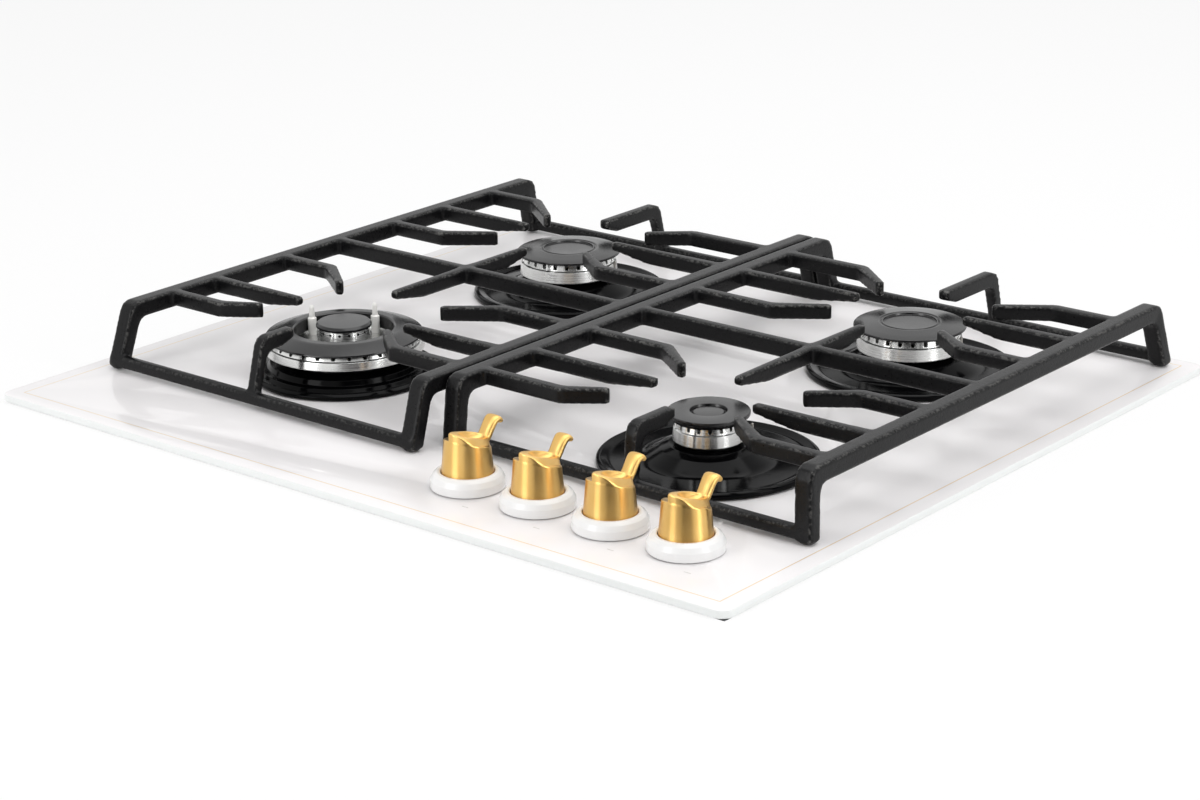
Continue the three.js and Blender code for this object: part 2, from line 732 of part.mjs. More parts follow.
function stem() {
  const foot = tapTop - 2;
  const collarBottom = stemCollarTop - stemCollarTall;
  const body = turned([
    [0, foot], [stemR, foot], [stemR, collarBottom], [stemCollarR, collarBottom],
    [stemCollarR, stemCollarTop], [stemR, stemCollarTop], [stemR, stemTop], [0, stemTop],
  ], 12);
  const flat = block(stemR - stemFlat, stemR + 1, -stemR - 1, stemR + 1, knobBase, stemTop + 1);
  return body.subtract(flat.rotate([0, 0, leverTurn]));
}

// Spring plate pushed down by the spindle collar; it slides but doesn't turn
function springPlate() {
  const top = stemCollarTop - stemCollarTall - seat;
  return turned([
    [stemR + seat, top - springPlateTall], [springPlateR, top - springPlateTall],
    [springPlateR, top], [stemR + seat, top],
  ], 12);
}

function tap(x) {
  const bottom = tapTop - tapTall;
  const body = block(x - tapWide / 2, x + tapWide / 2, railY, tapBack, bottom, tapTop).add(
    rod([x, knobY, tapTop - 1], [x, knobY, tapTop + bonnetTall], bonnetR, 12),
  ).add(
    rod([x, tapBack - 1, railZ], [x, tapBack + outletLong, railZ], outletR, 8),
  );
  return cut(body, [
    rod([x - tapWide, railY, railZ], [x + tapWide, railY, railZ], railR + seat, 16),
    rod([x, knobY, tapTop - 2 - knobPress - 1], [x, knobY, tapTop + 5], stemR + seat, 12),
  ]);
}

function tapBracket() {
  const bottom = stripTop - stripTall;
  const left = knobXs[0] - 20;
  const right = knobXs.at(-1) + 12;
  const sheet = block(left, right, stripFront, stripBack, bottom, stripTop);
  const legs = [left + stripLeg, ...knobXs.slice(1).map((x) => x - knobPitch / 2)];
  const feet = legs.map((x) => block(
    x - stripLeg, x + stripLeg, stripBack - 3, stripBack, panFloor + seat, stripTop,
  ));
  return cut(joined([sheet, ...feet]), knobXs.map((x) => (
    rod([x, knobY, bottom - 1], [x, knobY, stripTop + 1], stripHole, 10)
  )));
}

// --- Gas rail, pipes, inlet, ignition ---

function addGasWay() {
  const wallY = panTubDeep / 2 - notchDeep;
  const nutStart = wallY + 1;
  add('gas_rail', pipe([
    [knobX - railLead, railY], [railBackX, railY, railBend], [railBackX, nutStart + 6],
  ], railZ, railR, 12), 'steel');
  const threadEnd = nutStart + inletNutLong + inletThreadLong;
  const inlet = joined([
    rod([0, nutStart, 0], [0, nutStart + inletNutLong, 0], inletNutR, 6),
    rod([0, nutStart + 1, 0], [0, threadEnd, 0], inletThreadR, 20),
  ]);
  add('gas_inlet', cut(inlet, [
    rod([0, nutStart - 1, 0], [0, nutStart + 8, 0], railR + seat, 12),
    rod([0, nutStart + 5, 0], [0, threadEnd + 1, 0], inletBoreR, 12),
  ]).translate([railBackX, 0, railZ]), 'brass');
  const start = tapBack + outletLong + seat;
  const sideWay = railBackX - 37.5;
  const routes = [
    { burner: wok, way: [[wok.x + 105.5, wok.y - 57.5, 25]] },
    { burner: rearLeft, way: [[20, tapBack + 62, 25], [0, rearY, 40]] },
    { burner: frontRight, way: [] },
    { burner: rearRight, way: [[sideWay, tapBack + 97, 25], [sideWay, rearY - 36, 25]] },
  ];
  routes.forEach(({ burner, way }, i) => {
    const turn = THREE.MathUtils.degToRad(burner.inlet);
    const cupR = burner.size?.cupR ?? burner.cupR;
    const reach = cupR + 7 + seat;
    const lead = cupR + 20;
    const at = (r) => [burner.x + r * Math.cos(turn), burner.y + r * Math.sin(turn)];
    const corners = [
      [knobXs[i], start], [knobXs[i], start + 26, 10], ...way, [...at(lead), 6], at(reach),
    ];
    add(`supply_pipe_${i + 1}`, pipe(corners, railZ, pipeR, 8), 'alloy');
  });
}

function addIgnition() {
  const right = panTubWide / 2 - notchWide - 16;
  const left = right - ignitionWide;
  const back = panTubDeep / 2 - panSheet - 4;
  const front = back - ignitionDeep;
  const bottom = panFloor + seat;
  const shell = plate(boxOutline(left, right, front, back, 2), bottom, bottom + ignitionTall, 1);
  const posts = Array.from({ length: 4 }, (_, i) => {
    const x = left + ignitionWide * (i + 1) / 5;
    const y = front + 8;
    return rod([x, y, bottom + ignitionTall - 1], [x, y, bottom + ignitionTall + 5], 2.4, 8);
  });
  add('ignition_box', joined([shell, ...posts]), 'plastic');
  const wallX = panTubWide / 2 - notchWide;
  const gland = turned([
    [glandBore, -10], [glandNutR, -10], [glandNutR, -panSheet - seat], [glandR, -panSheet - seat],
    [glandR, seat], [glandNutR, seat], [glandNutR, 7], [glandNutR - 2.4, 14], [glandBore, 14],
  ], 10);
  add('mains_gland', gland.rotate([0, 90, 0]).translate([wallX, glandY, glandZ]), 'rubber');
}

// --- Pan supports ---

// Side outline of a frame bar with a leg at each end, drawn in the Y-Z plane
function frameOutline(front, rear, deep, thick) {
  const low = grateTop - deep;
  const foot = footTop;
  const lean = (grateTop - low) / (grateTop - foot);
  const frontLow = front.corner + (front.foot - front.corner) * lean;
  const rearLow = rear.corner + (rear.foot - rear.corner) * lean;
  return rounded([
    [front.corner, grateTop, grateCorner], [front.foot, foot, 2], [front.foot + thick, foot, 2],
    [frontLow + thick, low, 6], [rearLow - thick, low, 6], [rear.foot - thick, foot, 2],
    [rear.foot, foot, 2], [rear.corner, grateTop, grateCorner],
  ]);
}

// Middle post: a finger on top, bent down to the low bar at one end of the frame
function postOutline(corner, foot, tip) {
  const side = Math.sign(corner - tip);
  const low = grateTop - fingerDeep;
  const lean = fingerDeep / (grateTop - footTop);
  const outerLow = corner + (foot - corner) * lean;
  return rounded([
    [tip, grateTop, 1.2], [tip, grateTop - 6.4, 1.2], [tip + side * 12, low, 4],
    [outerLow - side * postThick, low, 6], [foot - side * postThick, footTop + 1],
    [foot - side * 1.4, footTop + 1], [corner, grateTop, grateCorner],
  ]);
}

// Bar with a flat top and a level, then rising, underside
function straightFinger(root, tip, y) {
  const rise = fingerRise * (tip - root);
  const outline = rounded([
    [root, grateTop], [root, grateTop - fingerDeep], [tip - rise, grateTop - fingerDeep, 12],
    [tip, grateTop - fingerTipDeep, 1.4], [tip, grateTop, 1.4],
  ]);
  const bar = drawnAlongY(outline, y - fingerWide / 2, y + fingerWide / 2);
  const start = tip - 2 * rise;
  const narrow = 1 - fingerTipWide / fingerWide;
  return solid(reshaped(bar, (point) => {
    const along = THREE.MathUtils.clamp((point.x - start) / (tip - start), 0, 1);
    point.y = y + (point.y - y) * (1 - narrow * along);
  }));
}

function bentFinger(root, bend, y, tip) {
  const elbow = new THREE.Vector2(bend, y);
  const end = new THREE.Vector2(...tip);
  const way = end.clone().sub(elbow).normalize();
  const across = new THREE.Vector2(-way.y, way.x);
  const side = Math.sign(bend - root);
  const wide = fingerWide / 2;
  const thin = fingerTipWide / 2;
  const lift = new THREE.Vector2(0, 1);
  const mitre = across.clone().add(lift.clone().multiplyScalar(side)).normalize();
  const spread = wide / Math.abs(mitre.dot(across));
  const left = elbow.clone().addScaledVector(mitre, spread);
  const right = elbow.clone().addScaledVector(mitre, -spread);
  const tipLeft = end.clone().addScaledVector(across, thin);
  const tipRight = end.clone().addScaledVector(across, -thin);
  const outline = rounded([
    [root, y - side * wide], [right.x, right.y, 5], [tipRight.x, tipRight.y, 2],
    [tipLeft.x, tipLeft.y, 2], [left.x, left.y, 5], [root, y + side * wide],
  ], 1);
  return plate(outline, grateTop - bentDeep, grateTop);
}

function panSupport(grate) {
  const { left, right, outer, frontCorner, frontFoot, straight, bent } = grate;
  const front = { corner: frontCorner, foot: frontFoot };
  const rear = { corner: rearCorner, foot: rearFoot };
  const outline = frameOutline(front, rear, barDeep, legThick);
  const flareTop = grateTop - barDeep;
  const frame = (x0, flare) => {
    const bar = drawnAlongX(outline, x0, x0 + barWide, edgeBreak);
    return solid(reshaped(bar, (point) => {
      point.x += flare * Math.max(0, flareTop - point.z) / (flareTop - footTop);
    }));
  };
  const flare = [outer < 0 ? -legFlare : 0, outer > 0 ? legFlare : 0];
  const sides = [frame(left, flare[0]), frame(right - barWide, flare[1])];
  const lowBars = [[frontFoot, 1], [rearFoot, -1]].map(([foot, inward]) => {
    const y0 = Math.min(foot, foot + inward * lowBarDeep);
    const section = rounded([
      [y0 + 0.8, footTop + 0.4, 2], [y0 + lowBarDeep - 0.8, footTop + 0.4, 2],
      [y0 + lowBarDeep - 0.8, footTop + lowBarTall, 2], [y0 + 0.8, footTop + lowBarTall, 2],
    ], 3);
    return solid(drawnAlongX(section, left + 2 + flare[0], right - 2 + flare[1]));
  });
  const inLeft = left + barWide - 2;
  const inRight = right - barWide + 2;
  const cross = solid(drawnAlongX(boxOutline(
    crossY - crossWide / 2, crossY + crossWide / 2, grateTop - crossDeep, grateTop, 1,
  ), inLeft, inRight));
  const middles = grate.crossTips.map((tip) => {
    const away = Math.sign(tip - crossY);
    return straightFinger(crossY - away, tip, -grate.middle).rotate([0, 0, 90]);
  });
  const posts = [
    postOutline(frontCorner, frontFoot, grate.frontPostTip),
    postOutline(rearCorner, rearFoot, grate.rearPostTip),
  ].map((shape) => solid(drawnAlongX(
    shape, grate.post - fingerWide / 2, grate.post + fingerWide / 2,
  )));
  const fingers = [
    ...straight.map(({ over, from, y, tip }) => (
      straightFinger(from === 'left' ? inLeft : inRight, over.x + tip, over.y + y)
    )),
    ...bent.map(({ over, from, y, bend, tip: [tipX, tipY] }) => (
      bentFinger(from === 'left' ? inLeft : inRight, over.x + bend, over.y + y, [
        over.x + tipX, over.y + tipY,
      ])
    )),
  ];
  const feetX = [left + barWide / 2 + flare[0], right - barWide / 2 + flare[1]];
  const feetY = [frontFoot + legThick / 2, rearFoot - legThick / 2];
  const feet = feetX.flatMap((x) => feetY.map((y) => (
    rod([x, y, seat], [x, y, footTop + 2], footR, 8)
  )));
  return joined([...sides, ...lowBars, cross, ...middles, ...posts, ...fingers, ...feet]);
}

// --- The whole hob ---

add('glass_plate', glassPlate(), 'glass');
add('seal', seal(), 'rubber');
add('base_pan', basePan(), 'steel');
burners.forEach(addBurner);
addWok();
knobXs.forEach((x, i) => {
  const place = (body) => body.translate([x, knobY, 0]);
  add(`tap_${i + 1}`, tap(x), 'brass');
  add(`spring_plate_${i + 1}`, place(springPlate()), 'steel');
  add(`spindle_${i + 1}`, place(stem()), 'steel');
  add(`knob_${i + 1}`, place(knobBody()), 'gold');
  add(`collar_${i + 1}`, place(bezel()), 'collar');
});
add('tap_bracket', tapBracket(), 'steel');
addGasWay();
addIgnition();
grates.forEach((grate) => add(`${grate.name}_pan_support`, panSupport(grate), 'iron'));

export default hob;
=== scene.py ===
"""Built-in gas hob: white glass top, four burners, two cast-iron pan supports, gold knobs."""
import json
import math

import bmesh
import bpy
import numpy as np
from mathutils import Matrix, Vector


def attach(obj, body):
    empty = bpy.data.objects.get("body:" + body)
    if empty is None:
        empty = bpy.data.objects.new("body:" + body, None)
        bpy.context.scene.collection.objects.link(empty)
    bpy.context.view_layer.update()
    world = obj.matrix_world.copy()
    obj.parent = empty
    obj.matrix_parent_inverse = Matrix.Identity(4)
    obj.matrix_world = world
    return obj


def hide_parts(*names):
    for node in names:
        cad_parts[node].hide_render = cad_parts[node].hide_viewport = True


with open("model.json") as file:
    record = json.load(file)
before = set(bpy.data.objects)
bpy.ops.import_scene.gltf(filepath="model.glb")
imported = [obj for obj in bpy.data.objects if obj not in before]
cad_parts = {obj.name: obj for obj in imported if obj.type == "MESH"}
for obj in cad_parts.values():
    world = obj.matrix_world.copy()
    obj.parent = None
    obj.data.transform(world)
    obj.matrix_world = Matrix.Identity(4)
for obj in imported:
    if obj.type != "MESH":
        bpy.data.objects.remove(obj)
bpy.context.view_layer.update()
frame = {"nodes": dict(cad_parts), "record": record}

MM = 0.001
GLASS_TOP = 51.3          # mm from the underside of the base pan up to the glass top
BODY_OF = {
    node: body for body, nodes in frame["record"]["behaviour"]["bodies"].items() for node in nodes
}

# Places and sizes in mm; heights are measured from the glass top
GLASS_WIDE, GLASS_DEEP, GLASS_THICK = 590, 520, 5
GLASS_CORNER, GLASS_ARRIS = 8, 0.6
STRIPE_X, STRIPE_Y, STRIPE_WIDE = 283.3, 249.1, 0.6
REAR_LEFT, REAR_RIGHT = (-145.5, 136), (145.5, 136)
FRONT_RIGHT, WOK = (148, -82.5), (-145.5, -92.5)
KNOB_XS, KNOB_Y = (61.2, 115.4, 169.6, 223.8), -201.7
TOP_FALL = math.tan(math.radians(15))
RIM_TOP, GRIP_TOP = 27.7, 32.7
WORKTOP, REBATE = -5.3, 1     # its face, and how far its cut-out lies inside the glass edge
FAR_EDGE = 6000
KNOB_HOLE = 9

# Rounds by which the edge mask for worn patches and painted highlights spreads from an edge, and
# the factor that brings an edge near 1
WEAR_AND_GLINT_SPREAD, WEAR_AND_GLINT_GAIN = 3, 5


# --- Surfaces ---

def eased(corners, steps=6):
    """Profile through corners given as (r, z) or (r, z, radius): each inner corner that has a
    radius becomes an arc of that radius, tangent to the straight lines on both sides."""
    places = [np.array(corner[:2], float) for corner in corners]
    runs = []
    for i, here in enumerate(places):
        radius = corners[i][2] if len(corners[i]) > 2 else 0
        if radius == 0 or i in (0, len(places) - 1):
            runs.append(here[None])
            continue
        back, ahead = places[i - 1] - here, places[i + 1] - here
        back, ahead = back / np.linalg.norm(back), ahead / np.linalg.norm(ahead)
        half = math.acos(np.clip(back @ ahead, -1, 1)) / 2
        middle = (back + ahead) / np.linalg.norm(back + ahead)
        centre = here + middle * radius / math.sin(half)
        start, end = (here + way * radius / math.tan(half) - centre for way in (back, ahead))
        sweep = math.atan2(start[0] * end[1] - start[1] * end[0], start @ end)
        t = np.linspace(0, sweep, steps + 1)
        runs.append(centre + np.stack([
            start[0] * np.cos(t) - start[1] * np.sin(t),
            start[0] * np.sin(t) + start[1] * np.cos(t),
        ], -1))
    return np.concatenate(runs)


def grid_faces(rows, columns, closed_rows=False, closed_columns=True):
    """Four-cornered faces between neighbouring points of a grid numbered row by row."""
    r = np.arange(rows if closed_rows else rows - 1)[:, None]
    c = np.arange(columns if closed_columns else columns - 1)[None, :]
    r2, c2 = (r + 1) % rows, (c + 1) % columns
    corners = [r * columns + c, r * columns + c2, r2 * columns + c2, r2 * columns + c]
    return np.stack(corners, -1).reshape(-1, 4)


def piece(name, parts, axis=None, sharp=38):
    """One object from (points, faces) parts, in mm from the glass top; points that fall together
    at poles and seams are merged. With an axis, each point keeps its offset from it in mm."""
    counts = np.cumsum([0] + [len(points) for points, _ in parts])
    points = np.concatenate([points for points, _ in parts])
    faces = np.concatenate([faces + start for (_, faces), start in zip(parts, counts)])
    mesh = bpy.data.meshes.new(name)
    mesh.from_pydata(((points + (0, 0, GLASS_TOP)) * MM).tolist(), [], faces.tolist())
    made = bpy.data.objects.new(name, mesh)
    bpy.context.scene.collection.objects.link(made)
    clean(made)
    if axis is not None:
        offset_from(made, axis)
    mesh.shade_smooth()
    mesh.set_sharp_from_angle(angle=math.radians(sharp))
    return made


def clean(made):
    """Points closer than a thousandth of a millimetre become one."""
    work = bmesh.new()
    work.from_mesh(made.data)
    bmesh.ops.remove_doubles(work, verts=work.verts, dist=1e-6)
    bmesh.ops.dissolve_degenerate(work, edges=work.edges, dist=1e-7)
    work.to_mesh(made.data)
    work.free()


def offset_from(made, axis):
    """Keeps each point's offset in mm from an upright axis, for patterns that follow turning."""
    mesh = made.data
    places = np.empty(len(mesh.vertices) * 3, np.float32)
    mesh.vertices.foreach_get("co", places)
    places = places.reshape(-1, 3) / MM - (axis[0], axis[1], GLASS_TOP)
    kept = mesh.attributes.new("from_axis", "FLOAT_VECTOR", "POINT")
    kept.data.foreach_set("vector", places.astype(np.float32).ravel())


def turned(profile, centre, around=144, rule=None):
    """Surface of revolution: each profile point (r, z) is carried round an upright axis, and a
    rule may move r and z as a function of the turn. Profiles run anticlockwise."""
    turn = np.linspace(0, 2 * math.pi, around, endpoint=False)[None, :]
    r = profile[:, :1] + 0 * turn
    z = profile[:, 1:] + 0 * turn
    if rule:
        r, z = rule(r, z, turn)
    points = np.stack([centre[0] + r * np.cos(turn), centre[1] + r * np.sin(turn), z], -1)
    return points.reshape(-1, 3), grid_faces(*r.shape)


def ported(count, wide, floor):
    """Rule for a burner ring: round each of its evenly spaced ports, where the distance along
    the arc is under half the port's width, the surface is held down to the port's floor."""
    def rule(r, z, turn):
        away = np.abs((turn * count / (2 * math.pi)) % 1 - 0.5) * 2 * math.pi * r / count
        inside = np.clip((wide / 2 + 0.12 - away) / 0.24, 0, 1)
        return r, z - inside * np.maximum(z - floor, 0)
    return rule


def swept(path, widths, heights, across, corner=2.6, around=20):
    """Bar with a rounded section carried along a path in space: at each path point the section
    is a superellipse, as wide as widths says along across and as thick as heights says."""
    along = np.gradient(path, axis=0)
    along /= np.linalg.norm(along, axis=1, keepdims=True)
    up = np.cross(along, across)
    up /= np.linalg.norm(up, axis=1, keepdims=True)
    t = np.linspace(0, 2 * math.pi, around, endpoint=False)
    u = np.sign(np.cos(t)) * np.abs(np.cos(t)) ** (2 / corner)
    v = np.sign(np.sin(t)) * np.abs(np.sin(t)) ** (2 / corner)
    rings = (
        path[:, None] + u[None, :, None] * widths[:, None, None] / 2 * across
        + v[None, :, None] * heights[:, None, None] / 2 * up[:, None]
    )
    ends = [np.repeat(path[i][None], around, 0)[None] for i in (0, -1)]
    rings = np.concatenate([ends[0], rings, ends[1]])
    return rings.reshape(-1, 3), grid_faces(rings.shape[0], around)[:, ::-1]


def remade(made, voxel, smoothing):
    """One even skin over everything in the object, with its edges softened."""
    melt = made.modifiers.new("skin", "REMESH")
    melt.mode = "VOXEL"
    melt.voxel_size = voxel * MM
    soften = made.modifiers.new("soften", "SMOOTH")
    soften.factor = 0.5
    soften.iterations = smoothing
    result = bpy.data.meshes.new_from_object(
        made.evaluated_get(bpy.context.evaluated_depsgraph_get())
    )
    made.modifiers.clear()
    made.data = result
    result.shade_smooth()


def edge_wear_and_glint(made):
    """Keeps how far each point stands proud of the mean of its neighbours, spread out over a few
    neighbours and scaled by the edge length, so that outer edges and corners come near 1. It marks
    where the iron turns grey: partly worn enamel, partly a painted highlight."""
    mesh = made.data
    count = len(mesh.vertices)
    places = np.empty(count * 3)
    mesh.vertices.foreach_get("co", places)
    places = places.reshape(-1, 3)
    normals = np.empty(count * 3)
    mesh.vertices.foreach_get("normal", normals)
    normals = normals.reshape(-1, 3)
    edges = np.empty(len(mesh.edges) * 2, int)
    mesh.edges.foreach_get("vertices", edges)
    a, b = edges.reshape(-1, 2).T
    degree = np.maximum(np.bincount(np.concatenate([a, b]), minlength=count), 1)

    def mean_of_neighbours(values):
        total = np.zeros_like(values)
        np.add.at(total, a, values[b])
        np.add.at(total, b, values[a])
        return total / (degree[:, None] if values.ndim > 1 else degree)

    length = np.linalg.norm(places[a] - places[b], axis=1).mean()
    proud = np.einsum("ij,ij->i", places - mean_of_neighbours(places), normals) / length
    for _ in range(WEAR_AND_GLINT_SPREAD):
        proud = (proud + mean_of_neighbours(proud)) / 2
    kept = mesh.attributes.new("wear_and_glint", "FLOAT", "POINT")
    kept.data.foreach_set("value", np.clip(proud * WEAR_AND_GLINT_GAIN, 0, 1).astype(np.float32))


# --- Materials ---

def colour(text):
    """Linear colour of an sRGB hex value."""
    parts = np.array([int(text[i:i + 2], 16) for i in (0, 2, 4)]) / 255
    linear = np.where(parts <= 0.04045, parts / 12.92, ((parts + 0.055) / 1.055) ** 2.4)
    return (*linear.tolist(), 1.0)


def material(name):
    """A new material and its empty node tree."""
    made = bpy.data.materials.new(name)
    made.use_nodes = True
    made.node_tree.nodes.clear()
    return made, made.node_tree


def add(tree, kind, inputs=None, **settings):
    """A node of a kind, with its settings; each input is a value or another node's socket. In a
    Map Range, inputs 0 to 4 are the value, the range it comes from and the range it goes to,
    both 0 to 1 where nothing is said. In a Mix of colours, 0 is the factor, 6 and 7 are mixed."""
    node = tree.nodes.new(kind)
    for key, value in settings.items():
        setattr(node, key, value)
    for key, value in (inputs or {}).items():
        if isinstance(value, bpy.types.NodeSocket):
            tree.links.new(value, node.inputs[key])
        else:
            node.inputs[key].default_value = value
    return node


def per_mm(size):
    """Texture scale in metres for a pattern that repeats every size mm."""
    return 1 / (size * MM)


def finish(tree, inputs):
    """Ends a material: its one shader, made from the given inputs, goes to the surface."""
    shader = add(tree, "ShaderNodeBsdfPrincipled", inputs)
    add(tree, "ShaderNodeOutputMaterial", {"Surface": shader.outputs["BSDF"]})


def back_painted_glass():
    """Toughened soda-lime glass, float made, with white enamel fired on its back: a mirror-smooth
    face over a soft white, with a gold pinstripe. The upright faces of the arris get a greenish
    white that is partly the glass's own edge tint and partly a painted highlight."""
    made, tree = material("back_painted_glass")
    place = add(tree, "ShaderNodeTexCoord").outputs["Object"]
    at = add(tree, "ShaderNodeSeparateXYZ", {"Vector": place})
    past = [
        add(tree, "ShaderNodeMath", {
            0: add(tree, "ShaderNodeMath", {0: at.outputs[axis]}, operation="ABSOLUTE").outputs[0],
            1: line * MM,
        }, operation="SUBTRACT").outputs[0]
        for axis, line in (("X", STRIPE_X), ("Y", STRIPE_Y))
    ]
    nearer = add(tree, "ShaderNodeMath", {0: past[0], 1: past[1]}, operation="MAXIMUM").outputs[0]
    from_line = add(tree, "ShaderNodeMath", {0: nearer}, operation="ABSOLUTE").outputs[0]
    stripe = add(tree, "ShaderNodeMapRange", {
        0: from_line, 1: STRIPE_WIDE * MM * 0.4, 2: STRIPE_WIDE * MM * 0.6, 3: 1.0, 4: 0.0,
    }).outputs[0]
    cloud = add(tree, "ShaderNodeTexNoise", {
        "Vector": place, "Scale": per_mm(140), "Detail": 2.0,
    }).outputs["Fac"]
    white = add(tree, "ShaderNodeMix", {
        0: cloud, 6: colour("ECE9EA"), 7: colour("F2F0F0"),
    }, data_type="RGBA").outputs[2]
    # Upright faces get a greenish white: the glass's own edge tint, lightened as a painted
    # highlight on the arris.
    facing = add(tree, "ShaderNodeSeparateXYZ", {
        "Vector": add(tree, "ShaderNodeNewGeometry").outputs["Normal"],
    }).outputs["Z"]
    side = add(tree, "ShaderNodeMapRange", {0: facing, 1: 0.5, 2: 0.95, 3: 1.0, 4: 0.0}).outputs[0]
    white = add(tree, "ShaderNodeMix", {
        0: side, 6: white, 7: colour("EDEFEE"),
    }, data_type="RGBA").outputs[2]
    roller = add(tree, "ShaderNodeTexNoise", {
        "Vector": place, "Scale": per_mm(45), "Detail": 1.0,
    }).outputs["Fac"]
    wave = add(tree, "ShaderNodeBump", {"Strength": 0.02, "Distance": 0.001, "Height": roller})
    finish(tree, {
        "Base Color": add(tree, "ShaderNodeMix", {
            0: stripe, 6: white, 7: colour("E3C48C"),
        }, data_type="RGBA").outputs[2],
        "Metallic": add(tree, "ShaderNodeMapRange", {0: stripe, 4: 0.4}).outputs[0],
        "Roughness": add(tree, "ShaderNodeMapRange", {0: stripe, 3: 0.42, 4: 0.3}).outputs[0],
        "IOR": 1.45, "Coat Weight": 0.28, "Coat Roughness": 0.03, "Coat IOR": 1.52,
        "Normal": wave.outputs["Normal"],
    })
    return made


def cast_iron():
    """Sand-cast iron under matt enamel: black, pebbled by the sand, with small grey patches on
    outer edges that are partly enamel worn off and partly a painted highlight for the glints the
    edges catch."""
    made, tree = material("matt_enamelled_cast_iron")
    place = add(tree, "ShaderNodeTexCoord").outputs["Object"]
    sand = add(tree, "ShaderNodeTexNoise", {
        "Vector": place, "Scale": per_mm(1.5), "Detail": 3.0, "Roughness": 0.6,
    }).outputs["Fac"]
    swell = add(tree, "ShaderNodeTexNoise", {
        "Vector": place, "Scale": per_mm(9), "Detail": 2.0,
    }).outputs["Fac"]
    wear_and_glint = add(tree, "ShaderNodeAttribute", attribute_name="wear_and_glint").outputs["Fac"]
    grain = add(tree, "ShaderNodeTexNoise", {
        "Vector": place, "Scale": per_mm(2.6), "Detail": 4.0, "Roughness": 0.65,
    }).outputs["Fac"]
    # Grey on outer edges: partly bare iron where the enamel is worn, partly a painted highlight for
    # the edges' glints.
    bare_and_glint = add(tree, "ShaderNodeMath", {
        0: add(tree, "ShaderNodeMapRange", {0: wear_and_glint, 1: 0.3, 2: 0.75}).outputs[0],
        1: add(tree, "ShaderNodeMapRange", {0: grain, 1: 0.47, 2: 0.6}).outputs[0],
    }, operation="MULTIPLY").outputs[0]
    height = add(tree, "ShaderNodeMath", {
        0: sand, 1: add(tree, "ShaderNodeMapRange", {0: swell, 4: 0.7}).outputs[0],
    }, operation="ADD").outputs[0]
    pebble = add(tree, "ShaderNodeBump", {
        "Strength": 0.24, "Distance": 0.0005, "Height": height,
    })
    black = add(tree, "ShaderNodeMix", {
        0: sand, 6: colour("09090A"), 7: colour("161617"),
    }, data_type="RGBA").outputs[2]
    finish(tree, {
        "Base Color": add(tree, "ShaderNodeMix", {
            0: bare_and_glint, 6: black, 7: colour("6C6B69"),
        }, data_type="RGBA").outputs[2],
        "Roughness": add(tree, "ShaderNodeMapRange", {
            0: sand, 1: 0.3, 2: 0.7, 3: 0.26, 4: 0.38,
        }).outputs[0],
        "IOR": 1.5, "Specular IOR Level": 0.18, "Normal": pebble.outputs["Normal"],
    })
    return made


def from_axis(tree):
    """Offset from a turned piece's axis in mm, the same laid flat, and the way round the axis."""
    offset = add(tree, "ShaderNodeAttribute", attribute_name="from_axis").outputs["Vector"]
    flat = add(tree, "ShaderNodeVectorMath", {
        0: offset, 1: (1.0, 1.0, 0.0),
    }, operation="MULTIPLY").outputs["Vector"]
    around = add(tree, "ShaderNodeVectorMath", {
        0: (0.0, 0.0, 1.0), 1: flat,
    }, operation="CROSS_PRODUCT").outputs["Vector"]
    return offset, flat, around


def turned_aluminium():
    """Die-cast aluminium, turned on a lathe: pale metal with fine rings that stretch highlights
    up and down the wall. The rings are 0.5 mm apart, as coarse as they must be to show."""
    made, tree = material("turned_aluminium")
    offset, flat, around = from_axis(tree)
    radius = add(tree, "ShaderNodeVectorMath", {0: flat}, operation="LENGTH").outputs["Value"]
    height = add(tree, "ShaderNodeSeparateXYZ", {"Vector": offset}).outputs["Z"]
    climb = add(tree, "ShaderNodeMath", {0: radius, 1: height}, operation="ADD").outputs[0]
    step = add(tree, "ShaderNodeCombineXYZ", {"X": climb}).outputs["Vector"]
    rings = add(tree, "ShaderNodeTexNoise", {
        "Vector": step, "Scale": 2.0, "Detail": 4.0,
    }).outputs["Fac"]
    stain = add(tree, "ShaderNodeTexNoise", {
        "Vector": offset, "Scale": 0.14, "Detail": 3.0,
    }).outputs["Fac"]
    groove = add(tree, "ShaderNodeBump", {"Strength": 0.04, "Distance": 0.0002, "Height": rings})
    finish(tree, {
        "Base Color": add(tree, "ShaderNodeMix", {
            0: stain, 6: colour("D2D3D2"), 7: colour("ECECEA"),
        }, data_type="RGBA").outputs[2],
        "Metallic": 1.0, "Roughness": add(tree, "ShaderNodeMapRange", {
            0: rings, 1: 0.3, 2: 0.7, 3: 0.2, 4: 0.3,
        }).outputs[0],
        "Anisotropic": 0.85, "Anisotropic Rotation": 0.25,
        "Normal": groove.outputs["Normal"], "Tangent": around,
    })
    return made


